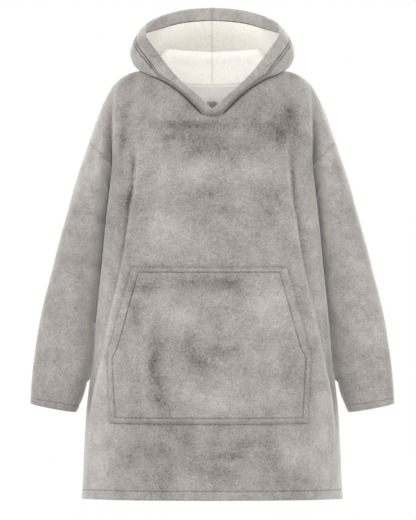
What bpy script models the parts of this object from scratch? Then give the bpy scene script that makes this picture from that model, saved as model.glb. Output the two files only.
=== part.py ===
"""A wearable blanket hoodie, filled out as it hangs from its wearer's shoulders, with the hood down.

Metres, +Z up, the front faces -Y. The origin is midway between the shoulders, level with the inner
ends of the shoulder seams. Left and right are the wearer's, so the left sleeve is on +X.

Every panel is a wall of cloth: an outer surface worked out from the sizes and tables below, and an
inner one moved in by the cloth's thickness. Panels stop 0.3 mm short of each other at the seams.
"""

import math

import bpy
import numpy as np
from mathutils.bvhtree import BVHTree

# Cloth and sewing
SEAM_GAP = 0.0003
SHELL = 0.0035
HOOD_SHELL = 0.0025
LINING = 0.0025
GROOVE = 0.0010
HEM_WIDTH = 0.0190
CUFF_WIDTH = 0.0195
BRIM_WIDTH = 0.0270
PUFF = 0.0008

# Body
HEM_HEIGHT = -0.900
HEM_RISE_FRONT = 0.009
UNDERARM_HEIGHT = -0.200
ARM_HOLLOW = 0.060
FOLD_WIDTH_DEG = 4.5
FOLD_COLUMN = 0.58
NECK_COLUMN = 0.62

# Neck
NECK_HALF_WIDTH = 0.152
NECK_FRONT = 0.122
NECK_BACK = 0.080
SEAM_MITRE = math.radians(25)
SEAM_TURNS_WITHIN = 0.014

# Armhole
ARMHOLE_TOP = np.array((0.2580, 0.0, -0.1500))
ARMHOLE_HALF_DEPTH = 0.086
ARMHOLE_LOW_OUT = 0.0045
ARMHOLE_LOW_DROP = 0.0035
SLEEVE_CLEARANCE = 0.0012

# Body rings: size of the body at each height. power makes a ring squarer, press is how far the arm
# pushes the side in.
TORSO = (
    ("height", "half_width", "front", "back", "power", "press"),
    (
        (-0.900, 0.2735, 0.165, 0.150, 2.40, 0.000),
        (-0.800, 0.2690, 0.163, 0.148, 2.40, 0.000),
        (-0.700, 0.2640, 0.160, 0.146, 2.45, 0.000),
        (-0.620, 0.2585, 0.157, 0.143, 2.50, 0.005),
        (-0.520, 0.2520, 0.153, 0.139, 2.60, 0.008),
        (-0.400, 0.2410, 0.147, 0.133, 2.70, 0.010),
        (-0.330, 0.2350, 0.142, 0.129, 2.80, 0.012),
        (-0.250, 0.2270, 0.134, 0.124, 2.90, 0.013),
        (-0.200, 0.2220, 0.128, 0.120, 3.00, 0.014),
    ),
)

# The long fold from each underarm to the side of the hem: its place round the body, and its depth.
FOLD = (
    ("height", "angle", "front_depth", "back_depth"),
    (
        (-0.900, 64.0, 0.0000, 0.0000),
        (-0.780, 70.0, 0.0010, 0.0010),
        (-0.700, 69.0, 0.0070, 0.0050),
        (-0.610, 60.0, 0.0120, 0.0080),
        (-0.500, 51.0, 0.0150, 0.0100),
        (-0.400, 44.0, 0.0150, 0.0100),
        (-0.300, 41.0, 0.0110, 0.0080),
        (-0.200, 38.0, 0.0050, 0.0040),
    ),
)

# Upper body: each column of cloth leaves the underarm ring with the rise handle and meets the neck or
# shoulder seam with the fall handle. Out is away from the centre, fore is away from the shoulder line.
HANDLES = (
    ("column", "rise_out", "rise_fore", "rise_up", "fall_out", "fall_fore", "fall_up"),
    (
        (0.00, 0.000, 0.002, 0.035, 0.000, 0.012, -0.032),
        (0.35, 0.000, 0.004, 0.050, 0.010, 0.026, -0.026),
        (0.60, 0.002, 0.012, 0.070, 0.016, 0.058, -0.016),
        (0.80, 0.006, 0.040, 0.060, 0.010, 0.082, -0.010),
        (0.92, -0.004, 0.060, 0.030, 0.010, 0.090, -0.014),
        (1.00, 0.002, 0.085, 0.000, 0.004, 0.080, -0.021),
    ),
)

# Shoulder seam, from the neck out to where the valley beside the arm begins.
SHOULDER = (
    ("out", "height"),
    ((0.152, -0.001), (0.163, -0.003), (0.179, -0.0085), (0.195, -0.019), (0.206, -0.029)),
)

# Height of the neck seam round the neck, from the centre front (0) to the centre back (180).
NECK = (
    ("angle", "height"),
    (
        (0.0, -0.1010),
        (8.0, -0.0980),
        (14.0, -0.0830),
        (22.0, -0.0630),
        (32.0, -0.0430),
        (45.0, -0.0260),
        (60.0, -0.0140),
        (75.0, -0.0055),
        (90.0, -0.0010),
        (120.0, -0.0100),
        (150.0, -0.0240),
        (180.0, -0.0300),
    ),
)

# Free edge of the hood round the neck, and how far the cloth below it swells outwards.
BRIM = (
    ("angle", "out", "fore", "height", "swell"),
    (
        (0.0, 0.0000, 0.136, -0.0931, 0.000),
        (20.0, 0.0362, 0.128, -0.0565, 0.001),
        (40.0, 0.0786, 0.105, -0.0139, 0.006),
        (60.0, 0.1137, 0.070, 0.0329, 0.015),
        (80.0, 0.1375, 0.028, 0.0688, 0.023),
        (95.0, 0.1400, -0.008, 0.0868, 0.027),
        (110.0, 0.1375, -0.044, 0.1010, 0.029),
        (125.0, 0.1250, -0.078, 0.1140, 0.030),
        (140.0, 0.1060, -0.108, 0.1245, 0.030),
        (160.0, 0.0592, -0.136, 0.1385, 0.030),
        (180.0, 0.0000, -0.146, 0.1440, 0.030),
    ),
)

# The hood's centre-back line, from the neck seam up over its stand, down into the bag that hangs
# behind the shoulders and up to the brim. out and up are measured from the neck seam.
BAG = (
    ("along", "out", "up"),
    (
        (0.000, 0.000, 0.000),
        (0.080, 0.009, 0.038),
        (0.150, 0.016, 0.067),
        (0.185, 0.030, 0.070),
        (0.250, 0.040, 0.040),
        (0.340, 0.041, -0.015),
        (0.430, 0.048, -0.068),
        (0.500, 0.070, -0.090),
        (0.570, 0.094, -0.074),
        (0.700, 0.104, 0.000),
        (0.820, 0.092, 0.078),
        (0.920, 0.072, 0.132),
        (1.000, 0.066, 0.1740),
    ),
)
BAG_STARTS_DEG = 112.0
BAG_FULL_DEG = 150.0
BAG_SOFTENING = 0.15

# The side of the hood swells out full. Towards the back its cloth is shared out so that the top of
# the stand, at the second share of the cloth's length, keeps its height as it runs out into the side.
SWELL_FULLNESS = 0.70
STAND_SHARE = (0.0, 0.17, 0.50, 1.0)
STAND_ON_PLAIN = (0.0, 0.26, 0.54, 1.0)
STAND_STARTS_DEG = 72.0

# Sleeve sections from the armhole to the cuff: outer and inner edge as seen from the front, half the
# depth from front to back, how far forward it hangs, and how square the ring is.
SLEEVE = (
    ("along", "outer_x", "outer_z", "inner_x", "inner_z", "half_depth", "fore", "power"),
    (
        (0.00, 0.2580, -0.150, 0.2125, -0.2035, 0.086, 0.000, 2.0),
        (0.12, 0.2855, -0.231, 0.2200, -0.262, 0.082, 0.000, 2.1),
        (0.24, 0.3030, -0.295, 0.2270, -0.318, 0.078, 0.002, 2.2),
        (0.36, 0.3205, -0.357, 0.2330, -0.379, 0.075, 0.004, 2.3),
        (0.48, 0.3370, -0.424, 0.2410, -0.446, 0.072, 0.006, 2.3),
        (0.59, 0.3525, -0.483, 0.2475, -0.507, 0.069, 0.009, 2.3),
        (0.70, 0.3650, -0.546, 0.2535, -0.570, 0.065, 0.012, 2.3),
        (0.81, 0.3740, -0.609, 0.2595, -0.634, 0.060, 0.015, 2.3),
        (0.92, 0.3795, -0.668, 0.2700, -0.684, 0.053, 0.018, 2.3),
        (1.00, 0.3800, -0.699, 0.2850, -0.717, 0.048, 0.019, 2.3),
    ),
)
SLEEVE_LEAVES_BODY = -0.655

# Pocket: half width and height of its corners as seen from the front, and its stitched margins.
POCKET_OFFSET = -0.007
POCKET_TOP = -0.4133
POCKET_ELBOW = -0.5950
POCKET_BOTTOM = -0.7345
POCKET_TOP_HALF = 0.1610
POCKET_ELBOW_HALF = 0.2110
POCKET_BOTTOM_HALF = 0.2030
POCKET_STANDS_OFF = 0.0012

# Rows and columns of each panel's cloth
HEM_STEPS = (0.0, 0.003, 0.010, 0.016, 0.019, 0.023)
BODY_ROWS = 12
UPPER_ROWS = 8
CENTRE_COLUMNS = 7
SIDE_COLUMNS = (0.62, 0.68, 0.76, 0.85, 0.93, 1.00)
CAP_COLUMNS = 4
SLEEVE_ROWS = 11
SLEEVE_COLUMNS = 20
HOOD_ROWS = (1.0, 0.87, 0.76, 0.66, 0.57, 0.49, 0.40, 0.31, 0.24, 0.20, 0.175, 0.145, 0.10, 0.05, 0.0)
BRIM_STEPS = (0.0, 0.003, 0.013, 0.0235, 0.027, 0.0285, 0.032)
LINING_DROP = 5
LINING_FIRST_COLUMN = 2
POCKET_ROWS = 10
POCKET_COLUMNS = 22

COLOURS = {"plush": (0.44, 0.41, 0.39), "lining": (0.85, 0.81, 0.75)}


def column_of(table, name):
    """One named column of a table."""
    names, rows = table
    return np.array([row[names.index(name)] for row in rows], float)


def read(table, name, at):
    """A table's column where its first column is at, on a smooth curve through the rows."""
    xs, ys = column_of(table, table[0][0]), column_of(table, name)
    slopes = np.gradient(ys, xs)
    at = np.clip(at, xs[0], xs[-1])
    i = np.clip(np.searchsorted(xs, at) - 1, 0, len(xs) - 2)
    step = xs[i + 1] - xs[i]
    t = (at - xs[i]) / step
    start = ys[i] * (1 + 2 * t) + slopes[i] * step * t
    end = ys[i + 1] * (3 - 2 * t) - slopes[i + 1] * step * (1 - t)
    return start * (1 - t) ** 2 + end * t**2


def ease(t):
    """0 below 0, 1 above 1, with a smooth rise between them."""
    t = np.clip(t, 0.0, 1.0)
    return t * t * (3 - 2 * t)


def bezier(p0, p1, p2, p3, t):
    """Point at t on the curve from p0 to p3 with the handles p1 and p2."""
    t = np.asarray(t)[..., None]
    return p0 * (1 - t) ** 3 + 3 * p1 * t * (1 - t) ** 2 + 3 * p2 * t**2 * (1 - t) + p3 * t**3


def points(x, y, z):
    return np.stack(np.broadcast_arrays(x, y, z), axis=-1).astype(float)


# Body surface


def fold_relief(angle, height, side):
    """How far the long fold moves the cloth out from the plain ring."""
    name = "front_depth" if side < 0 else "back_depth"
    past = np.abs(angle) - read(FOLD, "angle", height)
    ridge = 0.3 * np.exp(-(((past + 3) / 6) ** 2))
    valley = np.clip(past / FOLD_WIDTH_DEG, 0, None)
    return read(FOLD, name, height) * (ridge - valley * np.exp(1 - valley))


def torso(angle, height, side):
    """Outer surface round the body. angle is 0 at the centre and 90 at the side seam; side is -1 at
    the front and 1 at the back."""
    turn = np.radians(angle)
    sine, cosine = np.sin(turn), np.abs(np.cos(turn))
    power = 2 / read(TORSO, "power", height)
    half = read(TORSO, "half_width", height)
    depth = read(TORSO, "front" if side < 0 else "back", height)
    x = half * np.sign(sine) * np.abs(sine) ** power
    y = side * depth * cosine**power
    x = x - np.sign(x) * read(TORSO, "press", height) * np.exp(-((y / ARM_HOLLOW) ** 4))
    normal = points(x / half**2, y / depth**2, 0.0)
    normal /= np.linalg.norm(normal, axis=-1, keepdims=True)
    return points(x, y, height) + normal * fold_relief(angle, height, side)[..., None]


def torso_side(height):
    """How far out the side seam lies."""
    return read(TORSO, "half_width", height) - read(TORSO, "press", height)


def column_angle(column, height):
    """Where a column of cloth lies round the body: one column follows the long fold."""
    fold = read(FOLD, "angle", height)
    inner = fold * column / FOLD_COLUMN
    outer = fold + (90 - fold) * (column - FOLD_COLUMN) / (1 - FOLD_COLUMN)
    return np.where(column <= FOLD_COLUMN, inner, outer)


def neck(angle):
    """The neck seam, 0 degrees at the centre front and 180 at the centre back."""
    turn = np.radians(angle)
    reach = np.where(np.cos(turn) > 0, NECK_FRONT, NECK_BACK)
    return points(NECK_HALF_WIDTH * np.sin(turn), -reach * np.cos(turn), read(NECK, "height", angle))


def neck_directions(angle):
    """The way into the cloth's thickness at the neck seam, and the way across the seam to the hood."""
    turn = np.radians(angle)
    out = points(np.sin(turn), -np.cos(turn), 0.0)
    up = np.array((0.0, 0.0, 1.0))
    tilt = (SEAM_MITRE * np.sin(turn) ** 2)[..., None]
    return -np.cos(tilt) * out - np.sin(tilt) * up, -np.sin(tilt) * out + np.cos(tilt) * up


def top_edge(column, side):
    """Where each column of cloth ends: the neck seam, then the shoulder seam."""
    quarter = 90 * np.clip(column / NECK_COLUMN, 0, 1)
    at_neck = neck(quarter if side < 0 else 180 - quarter)
    along = np.clip((column - NECK_COLUMN) / (1 - NECK_COLUMN), 0, 1)
    outs = column_of(SHOULDER, "out")
    out = outs[0] + (outs[-1] - outs[0]) * along
    on_shoulder = points(out, 0.0, read(SHOULDER, "height", out))
    return np.where((column <= NECK_COLUMN)[..., None], at_neck, on_shoulder)


def upper_body(column, up, side):
    """Outer surface from the underarm ring (up 0) to the neck and shoulder seams (up 1)."""
    start = torso(column_angle(column, UNDERARM_HEIGHT), np.full(column.shape, UNDERARM_HEIGHT), side)
    end = top_edge(column, side)
    rise = points(
        read(HANDLES, "rise_out", column),
        side * read(HANDLES, "rise_fore", column),
        read(HANDLES, "rise_up", column),
    )
    fall = points(
        read(HANDLES, "fall_out", column),
        side * read(HANDLES, "fall_fore", column),
        read(HANDLES, "fall_up", column),
    )
    return bezier(start, start + rise, end + fall, end, up)


# Armhole and sleeve


def armhole_low():
    """The lowest point of the armhole, a little out from the body's side."""
    return np.array((torso_side(UNDERARM_HEIGHT) + ARMHOLE_LOW_OUT, 0.0, UNDERARM_HEIGHT - ARMHOLE_LOW_DROP))


def armhole(turn_deg, side):
    """The seam where a sleeve begins: 0 at the underarm, 180 on top of the arm."""
    turn = np.radians(turn_deg)
    across = armhole_low() + (ARMHOLE_TOP - armhole_low()) * (1 - np.cos(turn))[..., None] / 2
    return across + points(0.0, side * ARMHOLE_HALF_DEPTH * np.sin(turn), 0.0)


def armhole_inwards(turn_deg, side):
    """The way into the cloth's thickness at the armhole, in the seam's own plane."""
    turn = np.radians(turn_deg)
    reach = (ARMHOLE_TOP - armhole_low()) / 2
    width = np.linalg.norm(reach)
    inwards = reach / width**2 * np.cos(turn)[..., None]
    inwards = inwards - points(0.0, side * np.sin(turn) / ARMHOLE_HALF_DEPTH, 0.0)
    return inwards / np.linalg.norm(inwards, axis=-1, keepdims=True)


def armhole_down_the_arm():
    """Unit vector across the armhole seam, from the body to the sleeve."""
    reach = ARMHOLE_TOP - armhole_low()
    down = np.array((reach[2], 0.0, -reach[0]))
    return down / np.linalg.norm(down)


def arm_cap(out, up, side):
    """Outer surface from the valley beside the arm (out 0) to the armhole seam (out 1)."""
    valley = upper_body(np.ones(up.shape), up, side)
    seam = armhole(180 * up, side)
    length = np.linalg.norm(seam - valley, axis=-1, keepdims=True)
    swell = 0.010 * np.sin(np.pi * up)
    leave = valley + (seam - valley) / 3
    leave = leave + points(0.4 * swell + 0.006 * up**2, side * swell, 0.3 * swell + 0.012 * up**2)
    along_arm = sleeve_ring(180 * up if side < 0 else 360 - 180 * up, np.full(up.shape, 0.12)) - seam
    along_arm /= np.linalg.norm(along_arm, axis=-1, keepdims=True)
    arrive = seam - length * along_arm / 3
    return bezier(valley, leave, arrive, seam, out)


def sleeve_ring(turn_deg, along):
    """Outer surface of the left sleeve: 0 degrees at the body's side, 90 at the front."""
    turn = np.radians(turn_deg)
    power = 2 / read(SLEEVE, "power", along)
    cosine = np.sign(np.cos(turn)) * np.abs(np.cos(turn)) ** power
    sine = np.sign(np.sin(turn)) * np.abs(np.sin(turn)) ** power
    inner_z = read(SLEEVE, "inner_z", along)
    beside_body = torso_side(inner_z) + SLEEVE_CLEARANCE * np.clip(along / 0.1, 0, 1)
    inner_x = np.where(inner_z > SLEEVE_LEAVES_BODY, beside_body, read(SLEEVE, "inner_x", along))
    inner = points(inner_x, 0.0, inner_z)
    outer = points(read(SLEEVE, "outer_x", along), 0.0, read(SLEEVE, "outer_z", along))
    across = inner + (outer - inner) * (1 - cosine)[..., None] / 2
    depth = -read(SLEEVE, "fore", along) - read(SLEEVE, "half_depth", along) * sine
    return across + points(0.0, depth, 0.0)


# Hood surface


def hood_profile(angle, t):
    """Outer surface of the hood above the neck seam at that angle, t from the seam to the brim. Where
    the bag is only beginning, its folds are softened."""
    depth = ease((angle - BAG_STARTS_DEG) / (BAG_FULL_DEG - BAG_STARTS_DEG))
    spread = np.minimum(BAG_SOFTENING * np.sqrt(4 * depth * (1 - depth)), np.minimum(t, 1 - t))
    near = hood_cloth(angle, t - spread) + hood_cloth(angle, t + spread)
    return near * 0.3 + hood_cloth(angle, t) * 0.4


def hood_cloth(angle, t):
    turn = np.radians(angle)
    out = points(np.sin(turn), -np.cos(turn), 0.0)
    up = np.array((0.0, 0.0, 1.0))
    seam = neck(angle) + neck_directions(angle)[1] * SEAM_GAP
    brim = points(read(BRIM, "out", angle), -read(BRIM, "fore", angle), read(BRIM, "height", angle))
    raised = ease((angle - STAND_STARTS_DEG) / (BAG_STARTS_DEG - STAND_STARTS_DEG))
    up_plain = t + raised * (np.interp(t, STAND_SHARE, STAND_ON_PLAIN) - t)
    plain = seam + (brim - seam) * up_plain[..., None]
    fullness = np.sin(np.pi * np.clip(up_plain, 0, 1)) ** SWELL_FULLNESS
    plain = plain + out * (read(BRIM, "swell", angle) * fullness)[..., None]
    bag_end = seam + out * read(BAG, "out", 1.0) + up * read(BAG, "up", 1.0)
    bag = seam + out * read(BAG, "out", t)[..., None] + up * read(BAG, "up", t)[..., None]
    bag = bag + (brim - bag_end) * ease(t)[..., None]
    depth = ease((angle - BAG_STARTS_DEG) / (BAG_FULL_DEG - BAG_STARTS_DEG))[..., None]
    return plain * (1 - depth) + bag * depth


def hood_line(angle):
    """Points of the hood at one angle, from the brim's edge to the neck seam. The first of them are
    at set distances from the edge."""
    t = np.linspace(0, 1, 401)
    line = hood_profile(np.full(t.shape, float(angle)), t)[::-1]
    run = np.concatenate(([0], np.cumsum(np.linalg.norm(np.diff(line, axis=0), axis=1))))
    steps = np.array(BRIM_STEPS) * min(1.0, (run[-1] - 0.003) / BRIM_STEPS[-1])
    at = np.interp(steps, run, 1 - t)
    rows = np.concatenate((at[:-1], at[-1] * np.array(HOOD_ROWS)))
    return hood_profile(np.full(rows.shape, float(angle)), rows)


def hood_angles():
    """Angles round the neck of the hood's columns: those of the body's own columns."""
    columns = body_columns()
    quarter = 90 * columns[(columns >= 0) & (columns <= NECK_COLUMN + 1e-9)] / NECK_COLUMN
    return np.concatenate((quarter, 180 - quarter[-2::-1]))


# Meshes


def grid_faces(ids):
    """Quads over a grid of vertex numbers; where two corners are one vertex, a triangle."""
    faces = []
    for a, b, c, d in zip(ids[:-1, :-1].flat, ids[:-1, 1:].flat, ids[1:, 1:].flat, ids[1:, :-1].flat):
        corners = list(dict.fromkeys((int(a), int(b), int(c), int(d))))
        if len(corners) > 2:
            faces.append(tuple(corners))
    return faces


def triangles(verts, faces):
    """The faces with every quad cut across its shorter diagonal."""
    cut = []
    for face in faces:
        if len(face) == 3:
            cut.append(face)
            continue
        a, b, c, d = face
        if np.linalg.norm(verts[a] - verts[c]) <= np.linalg.norm(verts[b] - verts[d]) + 1e-7:
            cut += [(a, b, c), (a, c, d)]
        else:
            cut += [(a, b, d), (b, c, d)]
    return cut


def vertex_normals(verts, faces):
    normals = np.zeros_like(verts)
    for face in faces:
        corners = verts[list(face)]
        across = np.cross(corners[1] - corners[0], corners[2] - corners[0])
        if len(face) == 4:
            across = across + np.cross(corners[2] - corners[0], corners[3] - corners[0])
        normals[list(face)] += across
    return normals / np.maximum(np.linalg.norm(normals, axis=1, keepdims=True), 1e-12)


def open_edges(faces):
    """Edges on the cloth's border, in the direction in which their face runs."""
    directed = [(f[i], f[(i + 1) % len(f)]) for f in faces for i in range(len(f))]
    seen = set(directed)
    return [(a, b) for a, b in directed if (b, a) not in seen]


def make_wall(name, verts, faces, thickness, material, into=None, relief=None):
    """A wall of cloth: verts and faces are its outer side. into gives the way through the cloth at
    some vertices, and relief moves the outer side alone."""
    verts = np.asarray(verts, float)
    faces = triangles(verts, faces)
    normals = vertex_normals(verts, faces)
    inwards = -normals
    for index, direction in (into or {}).items():
        inwards[index] = direction
    inner = verts + inwards * np.broadcast_to(thickness, len(verts))[:, None]
    outer = verts if relief is None else verts - inwards * np.asarray(relief)[:, None]
    count = len(verts)
    all_faces = list(faces) + [tuple(i + count for i in reversed(f)) for f in faces]
    all_faces += [(b, a, a + count, b + count) for a, b in open_edges(faces)]
    mesh = bpy.data.meshes.new(name)
    mesh.from_pydata(np.concatenate((outer, inner)).tolist(), [], all_faces)
    mesh.update()
    mesh.shade_smooth()
    mesh.set_sharp_from_angle(angle=math.radians(40))
    mesh.materials.append(material)
    obj = bpy.data.objects.new(name, mesh)
    parts.objects.link(obj)
    return obj


def smoothed(verts, faces, fixed, rounds):
    """Moves each free vertex towards the middle of its neighbours."""
    links = [set() for _ in verts]
    for face in faces:
        for i, a in enumerate(face):
            b = face[(i + 1) % len(face)]
            links[a].add(b)
            links[b].add(a)
    free = [i for i in range(len(verts)) if i not in fixed]
    for _ in range(rounds):
        middle = {i: np.mean([verts[j] for j in links[i]], axis=0) for i in free}
        for i in free:
            verts[i] = 0.5 * verts[i] + 0.5 * middle[i]
    return verts


def hem_relief(distance, width):
    """A turned hem is a little fuller than the cloth above it, with a groove at its stitching."""
    full = PUFF * (distance < width - 0.001)
    return full - GROOVE * (np.abs(distance - width) < 0.002)


def body_columns():
    """The columns of cloth right across a body panel, the wearer's right first."""
    half = np.concatenate((np.linspace(0, FOLD_COLUMN, CENTRE_COLUMNS + 1), SIDE_COLUMNS))
    return np.concatenate((-half[:0:-1], half))


def body_surface(side):
    """Outer side of the front (side -1) or back (1), from hem to shoulder, with the caps over both
    arms: its points, faces, the numbers of its grid of points, and the ways through the cloth."""
    columns = body_columns()
    reach, hand = np.abs(columns), np.where(columns < 0, -1.0, 1.0)
    hem = HEM_HEIGHT + (HEM_RISE_FRONT * np.cos(np.radians(90 * reach)) if side < 0 else 0 * reach)
    heights = [hem + step for step in HEM_STEPS]
    for k in range(1, BODY_ROWS + 1):
        heights.append(hem + HEM_STEPS[-1] + (UNDERARM_HEIGHT - hem - HEM_STEPS[-1]) * k / BODY_ROWS)
    rows = [torso(column_angle(reach, h), h, side) for h in heights]
    underarm = len(rows) - 1
    for k in range(1, UPPER_ROWS + 1):
        rows.append(upper_body(reach, np.full(reach.shape, k / UPPER_ROWS), side))
    grid = np.array(rows)
    grid[:, :, 0] *= hand
    verts = list(grid.reshape(-1, 3))
    ids = np.arange(len(verts)).reshape(grid.shape[:2])
    faces = grid_faces(ids if side < 0 else ids[:, ::-1])
    fixed = set(ids[: underarm - 1].flat) | set(ids[:, 0]) | set(ids[:, -1]) | set(ids[-1])
    into = {}
    for edge, sign in ((0, -1.0), (-1, 1.0)):
        cap_ids = np.zeros((UPPER_ROWS + 1, CAP_COLUMNS + 1), int)
        for k in range(UPPER_ROWS + 1):
            out = np.arange(1, CAP_COLUMNS + 1) / CAP_COLUMNS
            row = arm_cap(out, np.full(out.shape, k / UPPER_ROWS), side)
            row[:, 0] *= sign
            cap_ids[k, 0] = ids[underarm + k, edge]
            cap_ids[k, 1:] = np.arange(len(verts), len(verts) + CAP_COLUMNS)
            verts.extend(row)
            turn = np.array([180.0 * k / UPPER_ROWS])
            into[cap_ids[k, -1]] = armhole_inwards(turn, side)[0] * (sign, 1, 1)
        faces += grid_faces(cap_ids if (side < 0) == (sign > 0) else cap_ids[:, ::-1])
        fixed |= set(cap_ids[:, -1]) | set(cap_ids[-1]) | set(cap_ids[0])
    verts = smoothed(np.array(verts), faces, fixed, 1)
    faces = triangles(verts, faces)
    normals = vertex_normals(verts, faces)
    # The panels meet in the plane y = 0, half a gap each.
    on_plane = np.flatnonzero(np.abs(verts[:, 1]) < 1e-9)
    for i in on_plane:
        flat = -normals[i] * (1, 0, 1)
        into.setdefault(i, flat / np.linalg.norm(flat))
    verts[on_plane, 1] = side * SEAM_GAP / 2
    inside_neck = reach <= NECK_COLUMN
    angles = 90 * reach / NECK_COLUMN
    ways, _ = neck_directions(angles if side < 0 else 180 - angles)
    for i, way, sign in zip(ids[-1][inside_neck], ways[inside_neck], hand[inside_neck]):
        into[i] = way * (sign, 1, 1)
    return verts, faces, ids, into


def body_panel(name, side, material):
    verts, faces, ids, into = body_surface(side)
    relief = np.zeros(len(verts))
    for j, step in enumerate(HEM_STEPS):
        relief[ids[j]] = hem_relief(step, HEM_WIDTH)
    return make_wall(name, verts, faces, SHELL, material, into, relief)


def sleeve(name, sign, material):
    """A tube from the armhole seam to the turned cuff."""
    turns = np.arange(SLEEVE_COLUMNS) * 360.0 / SLEEVE_COLUMNS
    length = 0.57
    cuff = [1 - step / length for step in HEM_STEPS]
    alongs = np.concatenate((np.linspace(0, cuff[-1], SLEEVE_ROWS), cuff[-2::-1]))
    rows = [sleeve_ring(turns, np.full(turns.shape, along)) for along in alongs]
    first = np.array([armhole(np.array([t if t <= 180 else 360 - t]), -1 if t <= 180 else 1)[0] for t in turns])
    rows[0] = first + armhole_down_the_arm() * SEAM_GAP
    grid = np.array(rows)
    grid[:, :, 0] *= sign
    ids = np.arange(grid[..., 0].size).reshape(grid.shape[:2])
    wrapped = np.concatenate((ids, ids[:, :1]), axis=1)
    faces = grid_faces(wrapped if sign < 0 else wrapped[:, ::-1])
    into = {}
    for i, t in zip(ids[0], turns):
        way = armhole_inwards(np.array([t if t <= 180 else 360 - t]), -1 if t <= 180 else 1)[0]
        into[i] = way * (sign, 1, 1)
    relief = np.zeros(ids.size)
    for j, step in enumerate(HEM_STEPS):
        relief[ids[-1 - j]] = hem_relief(step, CUFF_WIDTH)
    return make_wall(name, grid.reshape(-1, 3), faces, SHELL, material, into, relief)


def hood_surface(sign):
    """Outer side of half the hood: its points, faces, grid of numbers, and ways through the cloth."""
    angles = hood_angles()
    grid = np.array([hood_line(angle) for angle in angles])
    grid[:, :, 0] = np.maximum(grid[:, :, 0], SEAM_GAP / 2) * sign
    verts = grid.reshape(-1, 3)
    ids = np.arange(len(verts)).reshape(grid.shape[:2])
    faces = triangles(verts, grid_faces(ids if sign > 0 else ids[::-1]))
    ways = -vertex_normals(verts, faces)
    for i in list(ids[0]) + list(ids[-1]):
        flat = ways[i] * (0, 1, 1)
        ways[i] = flat / np.linalg.norm(flat)
    mitre = neck_directions(angles)[0] * (sign, 1, 1)
    run = np.linalg.norm(np.diff(grid[:, ::-1], axis=1), axis=2).cumsum(axis=1)
    from_seam = np.concatenate((np.zeros((len(angles), 1)), run), axis=1)[:, ::-1]
    share = (np.clip(1 - from_seam / SEAM_TURNS_WITHIN, 0, 1) ** 2)[..., None]
    blended = ways[ids] * (1 - share) + mitre[:, None] * share
    ways = (blended / np.linalg.norm(blended, axis=2, keepdims=True)).reshape(-1, 3)
    return verts, faces, ids, ways


def hood_half(name, sign, material):
    """Half the hood, whose turned brim is as thick as shell and lining together."""
    verts, faces, ids, ways = hood_surface(sign)
    thickness = np.full(ids.shape, HOOD_SHELL)
    relief = np.zeros(ids.shape)
    for j, step in enumerate(BRIM_STEPS):
        relief[:, j] = hem_relief(step, BRIM_WIDTH)
        if step <= BRIM_WIDTH:
            thickness[:, j] = HOOD_SHELL + SEAM_GAP + LINING
    into = dict(enumerate(ways))
    return make_wall(name, verts, faces, thickness.ravel(), material, into, relief.ravel())


def hood_lining_half(name, sign, material):
    """The fleece inside half the hood, from the brim's turned edge to the neck seam."""
    verts, faces, ids, ways = hood_surface(sign)
    block = ids[LINING_FIRST_COLUMN:, len(BRIM_STEPS) - 2 :]
    return lining_under(name, verts, ways, block if sign > 0 else block[::-1], HOOD_SHELL, material)


def lining_under(name, verts, ways, block, depth, material):
    """A wall of fleece behind part of a panel, given by the numbers of the panel's own points."""
    kept = block.ravel()
    small = np.arange(len(kept)).reshape(block.shape)
    faces = triangles(verts[kept], grid_faces(small))
    into = dict(enumerate(ways[kept]))
    return make_wall(name, verts[kept] + ways[kept] * (depth + SEAM_GAP), faces, LINING, material, into)


def pocket(name, material):
    """The hand pocket: the front's own points, moved out."""
    heights = np.concatenate(
        (
            np.linspace(POCKET_BOTTOM, POCKET_ELBOW, 5),
            np.linspace(POCKET_ELBOW, POCKET_TOP, POCKET_ROWS - 3)[1:],
        )
    )
    halves = np.interp(
        heights,
        (POCKET_BOTTOM, POCKET_ELBOW, POCKET_TOP),
        (POCKET_BOTTOM_HALF, POCKET_ELBOW_HALF, POCKET_TOP_HALF),
    )
    spread = np.linspace(-1, 1, POCKET_COLUMNS + 1)
    front_verts, front_faces, _, _ = body_surface(-1)
    front = BVHTree.FromPolygons(front_verts.tolist(), front_faces)
    grid = np.zeros((len(heights), len(spread), 3))
    for i, (height, half) in enumerate(zip(heights, halves)):
        for j, place in enumerate(spread):
            grid[i, j] = front.ray_cast((POCKET_OFFSET + half * place, -1.0, height), (0.0, 1.0, 0.0))[0]
    ids = np.arange(grid[..., 0].size).reshape(grid.shape[:2])
    faces = grid_faces(ids)
    panel = grid.reshape(-1, 3)
    normals = vertex_normals(panel, faces)
    verts = panel + normals * (POCKET_STANDS_OFF + SHELL)
    into = {i: -normals[i] for i in range(len(verts))}
    return make_wall(name, verts, faces, SHELL, material, into)


def back_neck_lining(name, material):
    """The fleece inside the back that shows through the neck, below the neck seam."""
    verts, faces, ids, into = body_surface(1)
    ways = -vertex_normals(verts, faces)
    for i, way in into.items():
        ways[i] = way
    reach = np.abs(body_columns())
    block = ids[-LINING_DROP:, reach < NECK_COLUMN - 0.05]
    return lining_under(name, verts, ways, block[:, ::-1], SHELL, material)


def cloth_material(name):
    material = bpy.data.materials.new(name)
    material.use_nodes = True
    shader = material.node_tree.nodes["Principled BSDF"]
    shader.inputs["Base Color"].default_value = (*COLOURS[name], 1.0)
    shader.inputs["Roughness"].default_value = 0.95
    shader.inputs["Metallic"].default_value = 0.0
    return material


for old in list(bpy.data.objects):
    bpy.data.objects.remove(old)
parts = bpy.data.collections.new("wearable_blanket_hoodie")
bpy.context.scene.collection.children.link(parts)
plush = cloth_material("plush")
fleece = cloth_material("lining")

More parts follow.
